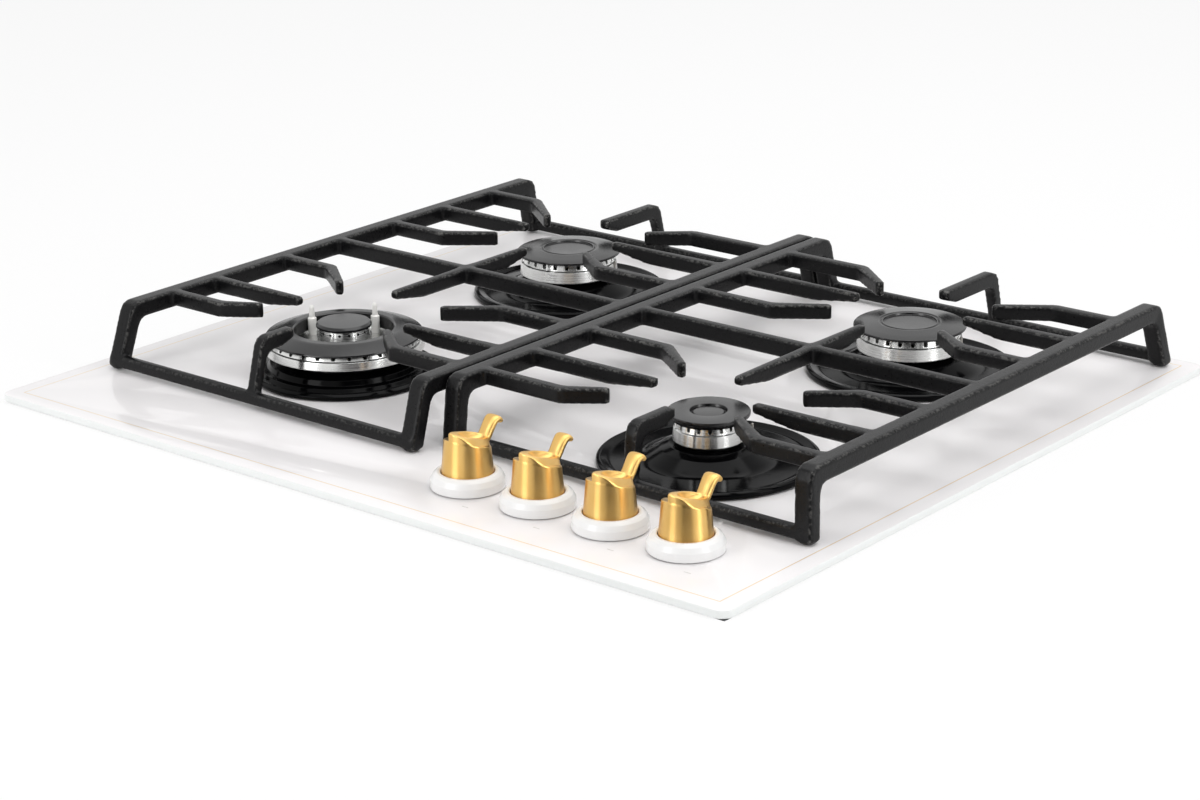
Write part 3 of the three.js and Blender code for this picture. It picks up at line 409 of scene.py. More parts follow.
def brushed_gold():
    """Aluminium brushed round the knob and anodised gold: warm satin metal whose fine scratches
    stretch the highlights. The scratches are 0.35 mm wide, as fine as can show."""
    made, tree = material("brushed_gold_anodised_aluminium")
    offset, _, around = from_axis(tree)
    stretched = add(tree, "ShaderNodeVectorMath", {
        0: offset, 1: (0.12, 0.12, 2.8),
    }, operation="MULTIPLY").outputs["Vector"]
    scratch = add(tree, "ShaderNodeTexNoise", {
        "Vector": stretched, "Scale": 1.0, "Detail": 3.0,
    }).outputs["Fac"]
    cloud = add(tree, "ShaderNodeTexNoise", {
        "Vector": offset, "Scale": 0.12, "Detail": 2.0,
    }).outputs["Fac"]
    hair = add(tree, "ShaderNodeBump", {"Strength": 0.02, "Distance": 0.0002, "Height": scratch})
    finish(tree, {
        "Base Color": add(tree, "ShaderNodeMix", {
            0: cloud, 6: colour("E2B566"), 7: colour("EBC47C"),
        }, data_type="RGBA").outputs[2],
        "Metallic": 1.0, "Roughness": add(tree, "ShaderNodeMapRange", {
            0: scratch, 1: 0.3, 2: 0.7, 3: 0.3, 4: 0.36,
        }).outputs[0],
        "Anisotropic": 0.9, "Anisotropic Rotation": 0.25,
        "Normal": hair.outputs["Normal"], "Tangent": around,
    })
    return made


def galvanised_steel():
    """Hot-dip galvanised sheet: dull grey with crystals some 9 mm across, each its own shade."""
    made, tree = material("galvanised_steel_sheet")
    place = add(tree, "ShaderNodeTexCoord").outputs["Object"]
    crystal = add(tree, "ShaderNodeTexVoronoi", {"Vector": place, "Scale": per_mm(9)})
    shade = add(tree, "ShaderNodeSeparateColor", {"Color": crystal.outputs["Color"]})
    fine = add(tree, "ShaderNodeTexNoise", {
        "Vector": place, "Scale": per_mm(1.5), "Detail": 2.0,
    }).outputs["Fac"]
    skin = add(tree, "ShaderNodeBump", {"Strength": 0.06, "Distance": 0.0002, "Height": fine})
    finish(tree, {
        "Base Color": add(tree, "ShaderNodeMix", {
            0: shade.outputs["Red"], 6: colour("8E9193"), 7: colour("B3B5B7"),
        }, data_type="RGBA").outputs[2],
        "Metallic": 0.9, "Roughness": add(tree, "ShaderNodeMapRange", {
            0: shade.outputs["Green"], 3: 0.36, 4: 0.52,
        }).outputs[0],
        "Normal": skin.outputs["Normal"],
    })
    return made


def grained(name, grain, relief, shades, rough, cloud=None, cloudy_gloss=False,
            stretch=None, **constants):
    """Finish with a fine grain, and a cloud of larger size, each given as its size in mm and its
    detail. The grain lifts the skin by a strength and a depth in metres, along a stretch if one
    is given. The cloud mixes the two shades and, in a cloudy gloss, moves the roughness between
    its limits, which otherwise follows the grain. Without a cloud, the grain does it all."""
    made, tree = material(name)
    place = add(tree, "ShaderNodeTexCoord").outputs["Object"]
    lie = place
    if stretch:
        lie = add(tree, "ShaderNodeMapping", {"Vector": place, "Scale": stretch}).outputs["Vector"]
    fine = add(tree, "ShaderNodeTexNoise", {
        "Vector": lie, "Scale": per_mm(grain[0]), "Detail": grain[1],
    }).outputs["Fac"]
    broad = fine
    if cloud:
        broad = add(tree, "ShaderNodeTexNoise", {
            "Vector": place, "Scale": per_mm(cloud[0]), "Detail": cloud[1],
        }).outputs["Fac"]
    skin = add(tree, "ShaderNodeBump", {
        "Strength": relief[0], "Distance": relief[1], "Height": fine,
    })
    finish(tree, {
        "Base Color": add(tree, "ShaderNodeMix", {
            0: broad, 6: colour(shades[0]), 7: colour(shades[1]),
        }, data_type="RGBA").outputs[2],
        "Roughness": add(tree, "ShaderNodeMapRange", {
            0: broad if cloudy_gloss else fine, 1: 0.3, 2: 0.7, 3: rough[0], 4: rough[1],
        }).outputs[0],
        "Normal": skin.outputs["Normal"],
    } | {socket.replace("_", " "): value for socket, value in constants.items()})
    return made


def drawn_metal(name, dark, light, rough):
    """Rolled or drawn metal: faint long grain of the mill and small changes of shade."""
    return grained(
        name, (1.2, 3.0), (0.08, 0.0002), (dark, light), (rough, rough + 0.14), (30, 4.0),
        stretch=(0.1, 1.0, 1.0), Metallic=1.0,
    )


def moulded(name, dark, light, rough, grain_size):
    """Moulded rubber or plastic: one soft colour with the fine texture of the mould."""
    return grained(
        name, (grain_size, 3.0), (0.16, 0.0003), (dark, light), (rough, rough + 0.12), IOR=1.5,
    )


glass = back_painted_glass()
iron = cast_iron()
aluminium = turned_aluminium()
gold = brushed_gold()
sheet_steel = galvanised_steel()

# Vitreous enamel fired on pressed steel: deep black, glassy, with a slight orange peel
enamel = grained(
    "black_vitreous_enamel", (3.2, 2.0), (0.04, 0.0006), ("030304", "070708"), (0.1, 0.16),
    (26, 4.0), cloudy_gloss=True, IOR=1.5, Specular_IOR_Level=0.07,
)
# Pressure die-cast aluminium as it leaves the mould: dull grey with a fine grain
casting = grained(
    "die_cast_aluminium", (1.4, 3.0), (0.2, 0.0003), ("8F9193", "B4B6B8"), (0.42, 0.58),
    (22, 3.0), Metallic=1.0,
)
# Matt enamel on pressed steel: charcoal with a silky sheen and a fine tooth
cap_enamel = grained(
    "matt_charcoal_enamel", (0.9, 2.0), (0.1, 0.0002), ("0E0E0F", "151516"), (0.2, 0.27),
    (18, 3.0), cloudy_gloss=True, IOR=1.5,
)
# Moulded ABS, polished in the mould: clean white with a hard clear shine
white_abs = grained(
    "gloss_white_abs", (7, 2.0), (0.03, 0.0004), ("EFEFEF", "F4F4F3"), (0.14, 0.2), IOR=1.52,
)
# Sintered alumina: warm white, finely granular, with a dull glaze
alumina = grained(
    "sintered_alumina", (0.8, 3.0), (0.08, 0.0002), ("ECEAE6", "F6F5F2"), (0.28, 0.4), IOR=1.7,
)
kanthal = drawn_metal("drawn_kanthal_wire", "8C8985", "B7B4AE", 0.3)
steel = drawn_metal("zinc_plated_steel", "94979A", "B7BABD", 0.3)
tube = drawn_metal("drawn_aluminium_tube", "AFB1B2", "CFD1D1", 0.28)
brass = drawn_metal("machined_brass", "A98743", "C7A45C", 0.26)
rubber = moulded("moulded_epdm_rubber", "141414", "1E1E1E", 0.7, 0.8)
nylon = moulded("moulded_polyamide", "CFCDC6", "DAD8D1", 0.42, 0.7)
grey_dash_coat = moulded("grey_dash_finish", "BDBBB8", "C8C6C3", 0.3, 1.2)


def stands_for(made, coat, slot, *nodes):
    """Gives a piece its material, lets it ride where its nodes ride, and hides those nodes."""
    made.data.materials.clear()
    made.data.materials.append(coat)
    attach(made, BODY_OF[nodes[0]])
    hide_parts(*nodes)


# --- Camera, floor and light ---

def photo_camera():
    """Camera at the place, turn and focal length worked out from the hob's known corners."""
    azimuth, elevation, roll = (math.radians(v) for v in (39.824, 18.996, -0.839))
    back = Vector((
        math.sin(azimuth) * math.cos(elevation), -math.cos(azimuth) * math.cos(elevation),
        math.sin(elevation),
    ))
    level = Vector((math.cos(azimuth), math.sin(azimuth), 0))
    upright = back.cross(level)
    right = level * math.cos(roll) + upright * math.sin(roll)
    up = upright * math.cos(roll) - level * math.sin(roll)
    turn = Matrix((right, up, back)).transposed().to_4x4()
    lens = bpy.data.cameras.new("photo_camera")
    lens.sensor_width = 36
    lens.lens = 86.83
    lens.clip_end = 50
    camera = bpy.data.objects.new("photo_camera", lens)
    bpy.context.scene.collection.objects.link(camera)
    aim = Vector((23.831, -34.641, GLASS_TOP)) * MM
    distance = 1846.811
    camera.matrix_world = Matrix.Translation(aim + back * distance * MM) @ turn
    bpy.context.scene.camera = camera


def worktop():
    """Pale worktop round the hob, rebated for its seal so that the glass lies on the face: a
    flat frame between the rebate, a millimetre inside the glass, and a far square edge."""
    square = np.array([(-1, -1), (1, -1), (1, 1), (-1, 1)], float)
    cut = square * (GLASS_WIDE / 2 - REBATE, GLASS_DEEP / 2 - REBATE)
    points = np.concatenate([
        np.column_stack([ring, np.full(4, WORKTOP)]) for ring in (cut, square * FAR_EDGE)
    ])
    top = piece("worktop", [(points, grid_faces(2, 4)[:, ::-1])])
    made, tree = material("pale_worktop")
    seen = looked_at(tree)
    paint = add(tree, "ShaderNodeBsdfDiffuse", {"Color": colour("F4F4F4")})
    bright = add(tree, "ShaderNodeEmission", {"Color": (1, 1, 1, 1), "Strength": 1.0})
    share = add(tree, "ShaderNodeMath", {0: seen, 1: 0.8}, operation="MULTIPLY").outputs[0]
    blend = add(tree, "ShaderNodeMixShader", {
        0: share, 1: paint.outputs["BSDF"], 2: bright.outputs["Emission"],
    })
    add(tree, "ShaderNodeOutputMaterial", {"Surface": blend.outputs["Shader"]})
    top.data.materials.append(made)


def looked_at(tree):
    """1 where a ray comes from the camera, a mirror or a clear body, 0 where it carries light."""
    path = add(tree, "ShaderNodeLightPath")
    direct = add(tree, "ShaderNodeMath", {
        0: path.outputs["Is Camera Ray"], 1: path.outputs["Is Transmission Ray"],
    }, operation="MAXIMUM").outputs[0]
    return add(tree, "ShaderNodeMath", {
        0: direct, 1: path.outputs["Is Glossy Ray"],
    }, operation="MAXIMUM").outputs[0]


def studio():
    """Soft studio light: a white background to look at, a room that is dimmer near the floor
    than overhead, a large soft box above and one at each side of the camera."""
    bpy.context.scene.view_settings.view_transform = "Standard"
    world = bpy.data.worlds.new("studio")
    bpy.context.scene.world = world
    world.use_nodes = True
    tree = world.node_tree
    tree.nodes.clear()
    height = add(tree, "ShaderNodeSeparateXYZ", {
        "Vector": add(tree, "ShaderNodeTexCoord").outputs["Generated"],
    }).outputs["Z"]
    white = add(tree, "ShaderNodeBackground", {"Color": (1, 1, 1, 1), "Strength": 1.0})
    room = add(tree, "ShaderNodeBackground", {
        "Color": (1, 1, 1, 1), "Strength": add(tree, "ShaderNodeMapRange", {
            0: height, 1: 0.0, 2: 0.7, 3: 0.3, 4: 0.62,
        }).outputs[0],
    })
    both = add(tree, "ShaderNodeMixShader", {
        0: looked_at(tree), 1: room.outputs["Background"], 2: white.outputs["Background"],
    })
    add(tree, "ShaderNodeOutputWorld", {"Surface": both.outputs["Shader"]})
    for name, place, size, power in (
        ("overhead", (0.1, 0.3, 1.5), (1.6, 1.3), 12),
        ("left_soft_box", (-0.35, -1.6, 0.7), (0.7, 1.2), 9),
        ("right_soft_box", (1.7, 0.05, 0.7), (0.45, 1.2), 8),
    ):
        lamp = bpy.data.lights.new(name, "AREA")
        lamp.shape = "RECTANGLE"
        lamp.size, lamp.size_y = size
        lamp.energy = power
        holder = bpy.data.objects.new(name, lamp)
        bpy.context.scene.collection.objects.link(holder)
        holder.location = place
        holder.rotation_mode = "QUATERNION"
        holder.rotation_quaternion = Vector(place).to_track_quat("Z", "Y")


def dark_flag():
    """Dark cloth before the front right corner, seen only in gloss: it puts the soft dark band of
    a studio's unlit side into metal and enamel. Straight lines run over the worktop from the
    hob's front edge to an arc about its centre, then straight up; the sides and top fade out."""
    rows, columns, flat_rows = 12, 25, 3
    row, column = np.arange(rows), np.arange(columns)
    arc = np.radians(np.linspace(-70, -20, columns))
    near = np.stack([np.linspace(80, 400, columns), np.full(columns, -264.0)], -1)
    far = 1100 * np.stack([np.cos(arc), np.sin(arc)], -1)
    along = np.clip(row / flat_rows, 0, 1)[:, None, None]
    flat = near * (1 - along) + far * along
    climb = np.clip(row - flat_rows, 0, 9)[:, None]
    rise = WORKTOP + 0.8 + 150 * climb + np.zeros(columns)
    card = piece("dark_flag", [(
        np.concatenate([flat, rise[:, :, None]], -1).reshape(-1, 3),
        grid_faces(rows, columns, closed_columns=False),
    )])
    shade = card.data.attributes.new("shade", "FLOAT", "POINT")
    across = np.clip(np.minimum(column, column[::-1]) / 6, 0, 1)
    fade = np.clip(row[::-1] / 4, 0, 1)[:, None]
    shade.data.foreach_set("value", (across * fade).ravel())
    made, tree = material("black_cloth_card")
    open_air = add(tree, "ShaderNodeBsdfTransparent")
    cloth = add(tree, "ShaderNodeBsdfDiffuse", {"Color": colour("1A1A1A")})
    blend = add(tree, "ShaderNodeMixShader", {
        0: add(tree, "ShaderNodeAttribute", attribute_name="shade").outputs["Fac"],
        1: open_air.outputs["BSDF"], 2: cloth.outputs["BSDF"],
    })
    add(tree, "ShaderNodeOutputMaterial", {"Surface": blend.outputs["Shader"]})
    card.data.materials.append(made)
    card.visible_camera = card.visible_diffuse = card.visible_shadow = False
    card.visible_transmission = False


# --- Glass ---

def glass_plate():
    """Plate cut from a flat outline with round holes, its edges broken by a flat arris."""
    outline = bpy.data.curves.new("glass_outline", "CURVE")
    outline.dimensions = "2D"
    outline.fill_mode = "BOTH"
    outline.extrude = (GLASS_THICK / 2 - GLASS_ARRIS) * MM
    outline.bevel_depth = GLASS_ARRIS * MM
    outline.bevel_resolution = 1
    outline.offset = -GLASS_ARRIS * MM
    x, y, r = GLASS_WIDE / 2, GLASS_DEEP / 2, GLASS_CORNER
    quarter = np.linspace(0, math.pi / 2, 13)
    corners = [
        np.stack([
            sx * (x - r) + r * np.cos(quarter + start), sy * (y - r) + r * np.sin(quarter + start),
        ], -1)
        for sx, sy, start in (
            (1, 1, 0), (-1, 1, math.pi / 2), (-1, -1, math.pi), (1, -1, -math.pi / 2),
        )
    ]
    loops = [np.concatenate(corners)]
    t = np.linspace(0, 2 * math.pi, 64, endpoint=False)
    holes = [(*REAR_LEFT, 41), (*REAR_RIGHT, 41), (*FRONT_RIGHT, 32), (*WOK, 43)]
    holes += [(knob_x, KNOB_Y, KNOB_HOLE) for knob_x in KNOB_XS]
    loops += [np.stack([cx + c * np.cos(t), cy + c * np.sin(t)], -1) for cx, cy, c in holes]
    for loop in loops:
        line = outline.splines.new("POLY")
        line.points.add(len(loop) - 1)
        flat = np.column_stack([loop * MM, np.zeros(len(loop)), np.ones(len(loop))])
        line.points.foreach_set("co", flat.ravel())
        line.use_cyclic_u = True
    shape = bpy.data.objects.new("glass_outline", outline)
    bpy.context.scene.collection.objects.link(shape)
    mesh = bpy.data.meshes.new_from_object(
        shape.evaluated_get(bpy.context.evaluated_depsgraph_get())
    )
    bpy.data.objects.remove(shape)
    mesh.name = "glass_top"
    mesh.transform(Matrix.Translation((0, 0, (GLASS_TOP - GLASS_THICK / 2) * MM)))
    made = bpy.data.objects.new("glass_top", mesh)
    bpy.context.scene.collection.objects.link(made)
    clean(made)
    mesh.shade_smooth()
    mesh.set_sharp_from_angle(angle=math.radians(25))
    stands_for(made, glass, "glass", "glass_plate")


# --- Burners ---

MEDIUM = {
    "hub": 36, "hub_top": 13.6, "neck": 23.5,
    "ring": [
        (19, 6), (20.6, 6), (20.6, 14.6), (33.8, 15.2, 0.4), (34.7, 16, 0.4), (33.9, 23.8, 0.4),
        (32.6, 24.4, 0.4), (31.3, 28.6, 0.4), (30.4, 28.7), (29.6, 28.4), (29.2, 21),
        (8.5, 19.6), (8.5, 6),
    ],
    "ports": 24, "port_wide": 2.5, "port_floor": 25.2,
    "cap": [
        (0, 27), (30, 27), (30, 29.1), (34.6, 29.1), (36.9, 30, 0.5), (36.6, 31.4, 0.7),
        (30, 32.3, 12), (21.4, 33.3, 0.6), (20.4, 33.3, 0.4), (19.8, 32.7, 0.3),
        (19, 32.7, 0.3), (18.4, 33.3, 0.3), (17.6, 33.3, 0.3), (17.2, 32, 0.4), (0, 32.2),
    ],
}
SMALL = {
    "hub": 30, "hub_top": 13, "neck": 15.5,
    "ring": [
        (12, 6), (12.6, 6), (12.6, 14.6), (20.9, 14.8, 0.3), (21.9, 15.6, 0.3),
        (21.1, 22.6, 0.3), (20.2, 23.3, 0.3), (19.4, 26.9, 0.3), (18.6, 27), (18, 26.8),
        (17.6, 20), (5.5, 19), (5.5, 6),
    ],
    "ports": 18, "port_wide": 2.0, "port_floor": 24.2,
    "cap": [
        (0, 25.4), (17.6, 25.4), (17.6, 27.5), (21.6, 27.5), (23, 29.6, 1), (25.1, 30.4, 0.6),
        (25.2, 32.9, 0.7), (11.4, 33, 0.5), (10.8, 30.6, 0.4), (9.8, 30.6, 0.3),
        (9.2, 31.9, 0.4), (0, 32),
    ],
}


def dish(name, centre, hub, hub_top, neck, passages):
    """Enamelled dish: rim rolled over the glass, a shallow hollow and a bell-shaped hub, turned
    about the burner's axis; the passages for the pins stay hidden under the head."""
    profile = eased([
        (neck, hub_top - 2.4), (hub - 7, hub_top - 3.2, 2), (hub + 8, 2.4, 4), (60, 0.4, 3),
        (66.6, 0.35, 0.4), (68.05, 1.2, 0.9), (67.8, 3.9, 1.4), (65.4, 4.7, 2.2), (60, 2.7, 8),
        (hub + 11, 3.9, 14), (hub - 0.5, 10.4, 7), (hub - 6, hub_top - 0.4, 3), (neck, hub_top),
        (neck, hub_top - 2.4),
    ], 8)
    made = piece(name, [turned(profile, centre, 180)], centre)
    stands_for(made, enamel, "enamel", passages)


def ring_and_cap(name, centre, size):
    """Turned burner ring with ports let into its sloping shoulder, and the enamelled cap on it."""
    count = size["ports"]
    ring = eased(size["ring"] + size["ring"][:1])
    fine = densified(ring, 0.35)
    parts = [turned(fine, centre, count * 24, ported(count, size["port_wide"], size["port_floor"]))]
    made = piece(f"{name}_turned_ring", parts, centre, 30)
    stands_for(made, aluminium, "alloy", f"{name}_head")
    lid = piece(f"{name}_domed_cap", [turned(eased(size["cap"]), centre, 160)], centre, 30)
    stands_for(lid, cap_enamel, "cap", f"{name}_cap")


def densified(profile, step):
    """Profile with points added along its straights, no further than a step apart."""
    runs = []
    for start, end in zip(profile[:-1], profile[1:]):
        count = max(1, math.ceil(np.linalg.norm(end - start) / step))
        t = np.linspace(0, 1, count, endpoint=False)[:, None]
        runs.append(start + (end - start) * t)
    return np.concatenate(runs + [profile[-1:]])


def pin(name, node, centre, offset, profile, coat, slot):
    """Spark electrode or flame probe: a slim turned pin."""
    at = (centre[0] + offset[0], centre[1] + offset[1])
    made = piece(name, [turned(eased(profile, 4), at, 32)], at)
    stands_for(made, coat, slot, node)


def pins(name, centre, spark, probe, top, probe_top):
    """Ceramic electrode with a wire tip on its end, and a metal flame probe beside it."""
    low = -16
    at = (centre[0] + spark[0], centre[1] + spark[1])
    pin(f"{name}_electrode", f"{name}_spark", centre, spark, [
        (0, low), (2.5, low), (2.5, -5), (4, -5), (4, -3), (2.5, -3), (2.5, top - 7.4, 0.3),
        (1.9, top - 5.6, 0.3), (0, top - 5.6),
    ], alumina, "ceramic")
    wire = piece(f"{name}_electrode_wire", [turned(eased([
        (0, top - 6.5), (0.9, top - 6.5), (0.9, top - 0.6, 0.3), (0, top),
    ], 4), at, 24)], at)
    wire.data.materials.append(kanthal)
    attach(wire, "hob")
    pin(f"{name}_flame_probe", f"{name}_probe", centre, probe, [
        (0, low), (2.2, low), (2.2, -5), (4, -5), (4, -2.4), (2.2, -2.4),
        (2.2, probe_top - 8, 0.3), (1.5, probe_top - 7.4, 0.2), (1.5, probe_top - 0.8, 0.7),
        (0, probe_top),
    ], kanthal, "steel")


def plain_burners():
    """The three burners that stand in a wide dish."""
    for name, centre, size in (
        ("rear_left", REAR_LEFT, MEDIUM), ("rear_right", REAR_RIGHT, MEDIUM),
        ("front_right", FRONT_RIGHT, SMALL),
    ):
        dish(
            f"{name}_bell_dish", centre, size["hub"], size["hub_top"], size["neck"], f"{name}_dish",
        )
        ring_and_cap(name, centre, size)
    for name, centre in (("rear_left", REAR_LEFT), ("rear_right", REAR_RIGHT)):
        pins(name, centre, (31.5, 13), (-21, 29.5), 25.5, 23.5)
    pins("front_right", FRONT_RIGHT, (22, 14), (-15, 22), 25.5, 23.5)


def wok_burner():
    """Two-ring burner: stepped enamelled base, ported outer ring with its ring-shaped cap, and
    a crown inside with a cap of its own. The crown's flame holes are painted shade: dark discs on
    its wall."""
    base = eased([
        (38.5, 7), (50, 5.6), (54, 0.4, 2), (59.6, 0.35, 0.4), (61, 1.1, 0.8), (61, 2.9, 1),
        (58.6, 4.4, 1.2), (56.4, 4.2, 0.8), (54.6, 6.4, 1.2), (51, 7, 1), (49.6, 10.6, 1.2),
        (44.5, 12.2, 1), (43.6, 12.8), (38.5, 12.8), (38.5, 7),
    ])
    made = piece("front_left_stepped_base", [turned(base, WOK, 180)], WOK)
    stands_for(made, enamel, "enamel", "front_left_dish")
    ring = densified(eased([
        (34.6, 11.2), (35.3, 11.2), (35.3, 16.9), (51.8, 17.1, 0.4), (52.6, 17.8, 0.4),
        (51.8, 22.8, 0.4), (50.2, 23.3, 0.3), (49, 25.6, 0.3), (36.2, 25.6), (36, 20),
        (34.6, 20), (34.6, 11.2),
    ]), 0.4)
    crown = densified(eased([
        (9, 11.2), (34.6, 11.2), (34.6, 20), (18.2, 20.2), (15.8, 31.4), (12.2, 31.5),
        (12, 20), (9, 20), (9, 11.2),
    ]), 0.5)
    parts = [
        turned(ring, WOK, 30 * 24, ported(30, 2.4, 23.8)),
        turned(crown, WOK, 192),
    ]
    made = piece("front_left_turned_rings", parts, WOK, 30)
    stands_for(made, aluminium, "alloy", "front_left_head")
    lid = piece("front_left_ring_cap", [turned(eased([
        (32.6, 22.8), (35.5, 22.8), (35.5, 26.1), (50, 26.1), (51.9, 26.6, 0.4),
        (51.4, 27.7, 0.6), (40.6, 31.2, 3), (38.8, 31.6, 1), (33.8, 31.6, 0.6), (32.6, 30.8, 0.5),
        (32.6, 22.8),
    ]), WOK, 180)], WOK, 30)
    stands_for(lid, cap_enamel, "cap", "front_left_cap")
    inner = piece("front_left_crown_cap", [turned(eased([
        (0, 28.8), (11.5, 28.8), (11.5, 31.9), (16.8, 31.9), (18.3, 32.6, 0.4), (18.3, 34, 0.5),
        (16.8, 35.4, 0.7), (0, 35.5),
    ]), WOK, 160)], WOK, 30)
    stands_for(inner, cap_enamel, "cap", "front_left_inner_cap")
    crown_hole_shade_discs()
    for name, node, offset in (
        ("front_left_electrode", "front_left_spark", (-30.6, 1.2)),
        ("front_left_flame_probe", "front_left_probe", (-0.6, 30)),
    ):
        pin(name, node, WOK, offset, [
            (0, -15.5), (2.6, -15.5), (2.6, -14), (4, -14), (4, -12), (2.6, -12),
            (2.6, 22), (2.9, 22.4), (2.9, 31.4, 0.4), (1.9, 32.2), (1.6, 38.8, 0.5), (0.9, 40.2),
            (0, 40.2),
        ], alumina, "ceramic")


def crown_hole_shade_discs():
    """Painted shade for the flame holes round the crown: small dark domed discs set on its wall,
    evenly spaced, in place of cut holes.
    """
    count, wall, height, sides = 16, 16.2, 29.6, 12
    t = np.linspace(0, 2 * math.pi, sides, endpoint=False)
    ring = np.stack([np.cos(t), np.sin(t)], -1)
    parts = []
    for k in range(count):
        turn = 2 * math.pi * (k + 0.5) / count
        out = np.array([math.cos(turn), math.sin(turn), 0])
        side = np.array([-math.sin(turn), math.cos(turn), 0])
        rows = []
        for size, proud in ((0, 0.12), (0.7, 0.12), (0.95, 0.05), (0.95, -0.3), (0, -0.3)):
            flat = size * ring[:, :1] * side + size * ring[:, 1:] * np.array([0, 0, 1])
            rows.append(flat + out * (wall + proud) + (WOK[0], WOK[1], height))
        parts.append((np.concatenate(rows), grid_faces(len(rows), sides)[:, ::-1]))
    made = piece("front_left_crown_holes", parts)
    # Black enamel on the discs is painted shade for the dark insides of the holes.
    made.data.materials.append(enamel)
    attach(made, BODY_OF["front_left_head"])


# --- Knobs ---

def knob(number, centre):
    """Knob whose top falls towards the back of the hob, in three surfaces that become one skin.
    The body is a turned cone whose heights above the rim are held under a falling plane. The grip
    is an outline, rounded in plan, that rises from the rim plane to a parallel one, with an oval
    hollow of parabolic depth. The tab's section is carried along a curled path behind the grip."""
    at = np.array([centre[0], centre[1], 0])
    profile = densified(eased([
        (4.3, 4.6), (15.6, 4.6), (15.6, 9.4), (13.95, 27.5, 30), (13.3, 37.5), (0, 37.5),
        (0, 21.3), (4.3, 21.3), (4.3, 4.6),
    ]), 0.5)
    body, body_faces = turned(profile, centre, 128)
    fall = RIM_TOP - TOP_FALL * (body[:, 1] - centre[1])
    edge = np.clip(np.hypot(*(body[:, :2] - centre).T) - 12.9, 0, 2) ** 2 * 0.5
    top_begins, no_limit = 23, 99
    body[:, 2] = np.minimum(body[:, 2], np.where(body[:, 2] > top_begins, fall - edge, no_limit))
    columns, face_rows, floor_rows = 120, 22, 5
    turn = np.linspace(0, 2 * math.pi, columns, endpoint=False)[None, :]
    share = np.concatenate([
        np.linspace(0, 0.9, face_rows), [0.94, 0.968, 0.988, 1, 1, 1, 0.99],
        np.linspace(0.9, 0, floor_rows),
    ])[:, None]
    drop = np.concatenate([
        np.zeros(face_rows), [0.05, 0.3, 0.75, 1.5, 3, 4.4, 5.2], np.full(floor_rows, 5.4),
    ])
    half_wide = np.where(np.cos(turn) > 0, 7.4, 6.2) - 0.6 * np.sin(turn) ** 3
    across = np.sign(np.cos(turn)) * np.abs(np.cos(turn)) ** 0.8
    x = share * half_wide * across + 1.2
    y = share * 14.6 * np.sign(np.sin(turn)) * np.abs(np.sin(turn)) ** 0.9
    x = x + 5.2 * np.clip(drop[:, None] / 4.4, 0, 1) * np.clip(across, 0, 1) * (share > 0.9)
    wall = 13.45
    outside = np.maximum(1, np.hypot(x, y) / wall)
    x, y = x / outside, y / outside
    bowl = 1 - ((x - 1.8) / 4.9) ** 2 - ((y - 1.6) / 10.4) ** 2
    z = GRIP_TOP - TOP_FALL * y - 0.17 * x - drop[:, None] - 3.4 * np.clip(bowl, 0, 1) ** 0.7
    z[-floor_rows:] = RIM_TOP - 4
    grip = (at + np.stack([x, y, z], -1)).reshape(-1, 3)
    s = np.linspace(0, 1, 40)
    bends = np.array([
        (9, 24), (13, 25.6), (16.5, 28), (18.8, 33.4), (20.6, 37.8), (25.6, 37.2), (26.2, 33.4),
    ])
    curl = bezier(bends, s)
    path = at + curl[:, :1] * (0, 1, 0) + curl[:, 1:] * (0, 0, 1)
    path += (0.9 - 1.6 * s[:, None] ** 2) * (1, 0, 0)
    wide = 10 - 1.2 * np.sin(math.pi * s) + 2.6 * s ** 2
    thick = 6 - 1.6 * s
    tip = np.clip((s - 0.94) / 0.06, 0, 1)
    rounding = np.sqrt(np.clip(1 - tip ** 2, 0.02, 1))
    tab = swept(path, wide * (0.6 + 0.4 * rounding), thick * rounding, np.array([[1.0, 0, 0]]))
    made = piece(f"knob_{number}_lever_knob", [
        (body, body_faces), (grip, grid_faces(len(share), columns)[:, ::-1]), tab,
    ])
    remade(made, voxel=0.4, smoothing=4)
    offset_from(made, centre)
    stands_for(made, gold, "gold", f"knob_{number}")


def bezier(points, s):
    """Smooth curve through the first and last point: each point in turn is weighted by its
    Bernstein polynomial."""
    degree = len(points) - 1
    weights = [math.comb(degree, k) * s ** k * (1 - s) ** (degree - k) for k in range(degree + 1)]
    return np.stack(weights, -1) @ points


def collar(number, centre):
    """Moulded collar round the knob: a stepped foot, an upright wall and a rounded shoulder."""
    profile = eased([
        (16.1, 0.35), (21.8, 0.35), (22.3, 0.8, 0.3), (22.3, 5.6, 0.9), (20.6, 8.6, 1.2),
        (18.4, 10.4, 1), (16.7, 10.4, 0.4), (16.1, 9.8), (16.1, 0.35),
    ])
    made = piece(f"collar_{number}_moulded", [turned(profile, centre, 160)], centre)
    stands_for(made, white_abs, "collar", f"collar_{number}")


def knob_row():
    """Four collars with their knobs, from left to right."""
    for number, x in enumerate(KNOB_XS, 1):
        collar(number, (x, KNOB_Y))
        knob(number, (x, KNOB_Y))


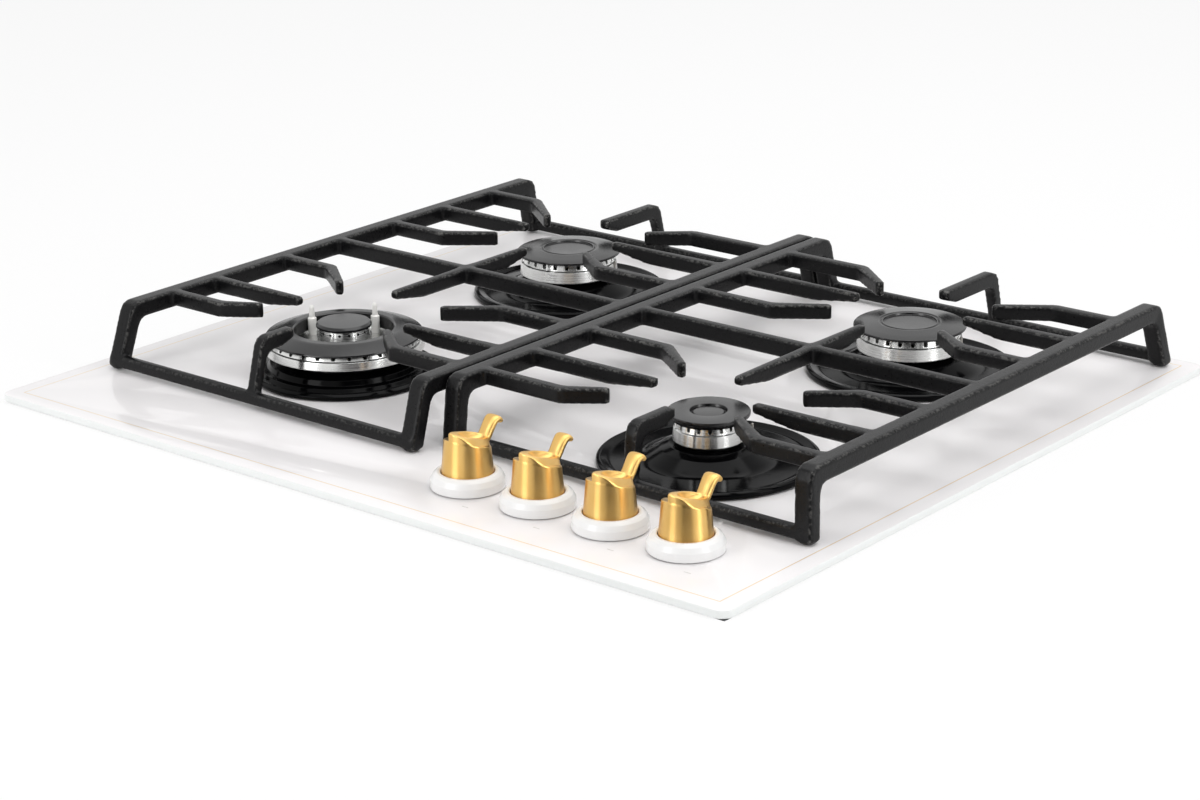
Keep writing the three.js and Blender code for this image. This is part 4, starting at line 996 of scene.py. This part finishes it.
def knob_dashes():
    """Plain grey dashes on the glass in front of the knobs, each a thin flat bar."""
    half_long, half_wide, thick = 2.4, 0.3, 0.04
    parts = []
    for x in KNOB_XS:
        cx, cy = x + 21.4, KNOB_Y - 26.4
        bar = np.array([
            (cx - half_long, cy - half_wide), (cx + half_long, cy - half_wide),
            (cx + half_long, cy + half_wide), (cx - half_long, cy + half_wide),
        ])
        middle = bar * 0 + bar.mean(0)
        points = np.concatenate([
            np.column_stack([ring, np.full(4, z)])
            for ring, z in ((middle, thick), (bar, thick), (bar, 0), (middle, 0))
        ])
        parts.append((points, grid_faces(4, 4)[:, ::-1]))
    made = piece("knob_dashes", parts)
    made.data.materials.append(grey_dash_coat)
    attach(made, "hob")


# --- Pan supports ---

def pan_support(side):
    """Cast support: the plain solid's copy under one even skin, softened like a casting."""
    source = frame["nodes"][f"{side}_pan_support"]
    made = bpy.data.objects.new(f"{side}_cast_support", source.data.copy())
    bpy.context.scene.collection.objects.link(made)
    clean(made)
    remade(made, voxel=1.25, smoothing=3)
    # Edge mask for worn patches and painted highlights on the edges.
    edge_wear_and_glint(made)
    stands_for(made, iron, "iron", f"{side}_pan_support")


# --- Pieces kept from the plain model ---

def kept_nodes():
    """Materials for the pieces under the glass and in the burners that keep their shape."""
    finishes = {
        "seal": rubber, "base_pan": sheet_steel, "tap_bracket": sheet_steel, "gas_rail": steel,
        "gas_inlet": brass, "ignition_box": nylon, "mains_gland": rubber,
    }
    for i in range(1, 5):
        finishes |= {
            f"tap_{i}": brass, f"spring_plate_{i}": steel, f"spindle_{i}": steel,
            f"supply_pipe_{i}": tube,
        }
    for burner in ("rear_left", "rear_right", "front_right", "front_left"):
        finishes[f"{burner}_cup"] = casting
    for node, coat in finishes.items():
        mesh = frame["nodes"][node].data
        for index in range(max(1, len(mesh.materials))):
            if index < len(mesh.materials):
                mesh.materials[index] = coat
            else:
                mesh.materials.append(coat)


photo_camera()
worktop()
studio()
dark_flag()
glass_plate()
plain_burners()
wok_burner()
knob_row()
knob_dashes()
for side in ("left", "right"):
    pan_support(side)
kept_nodes()
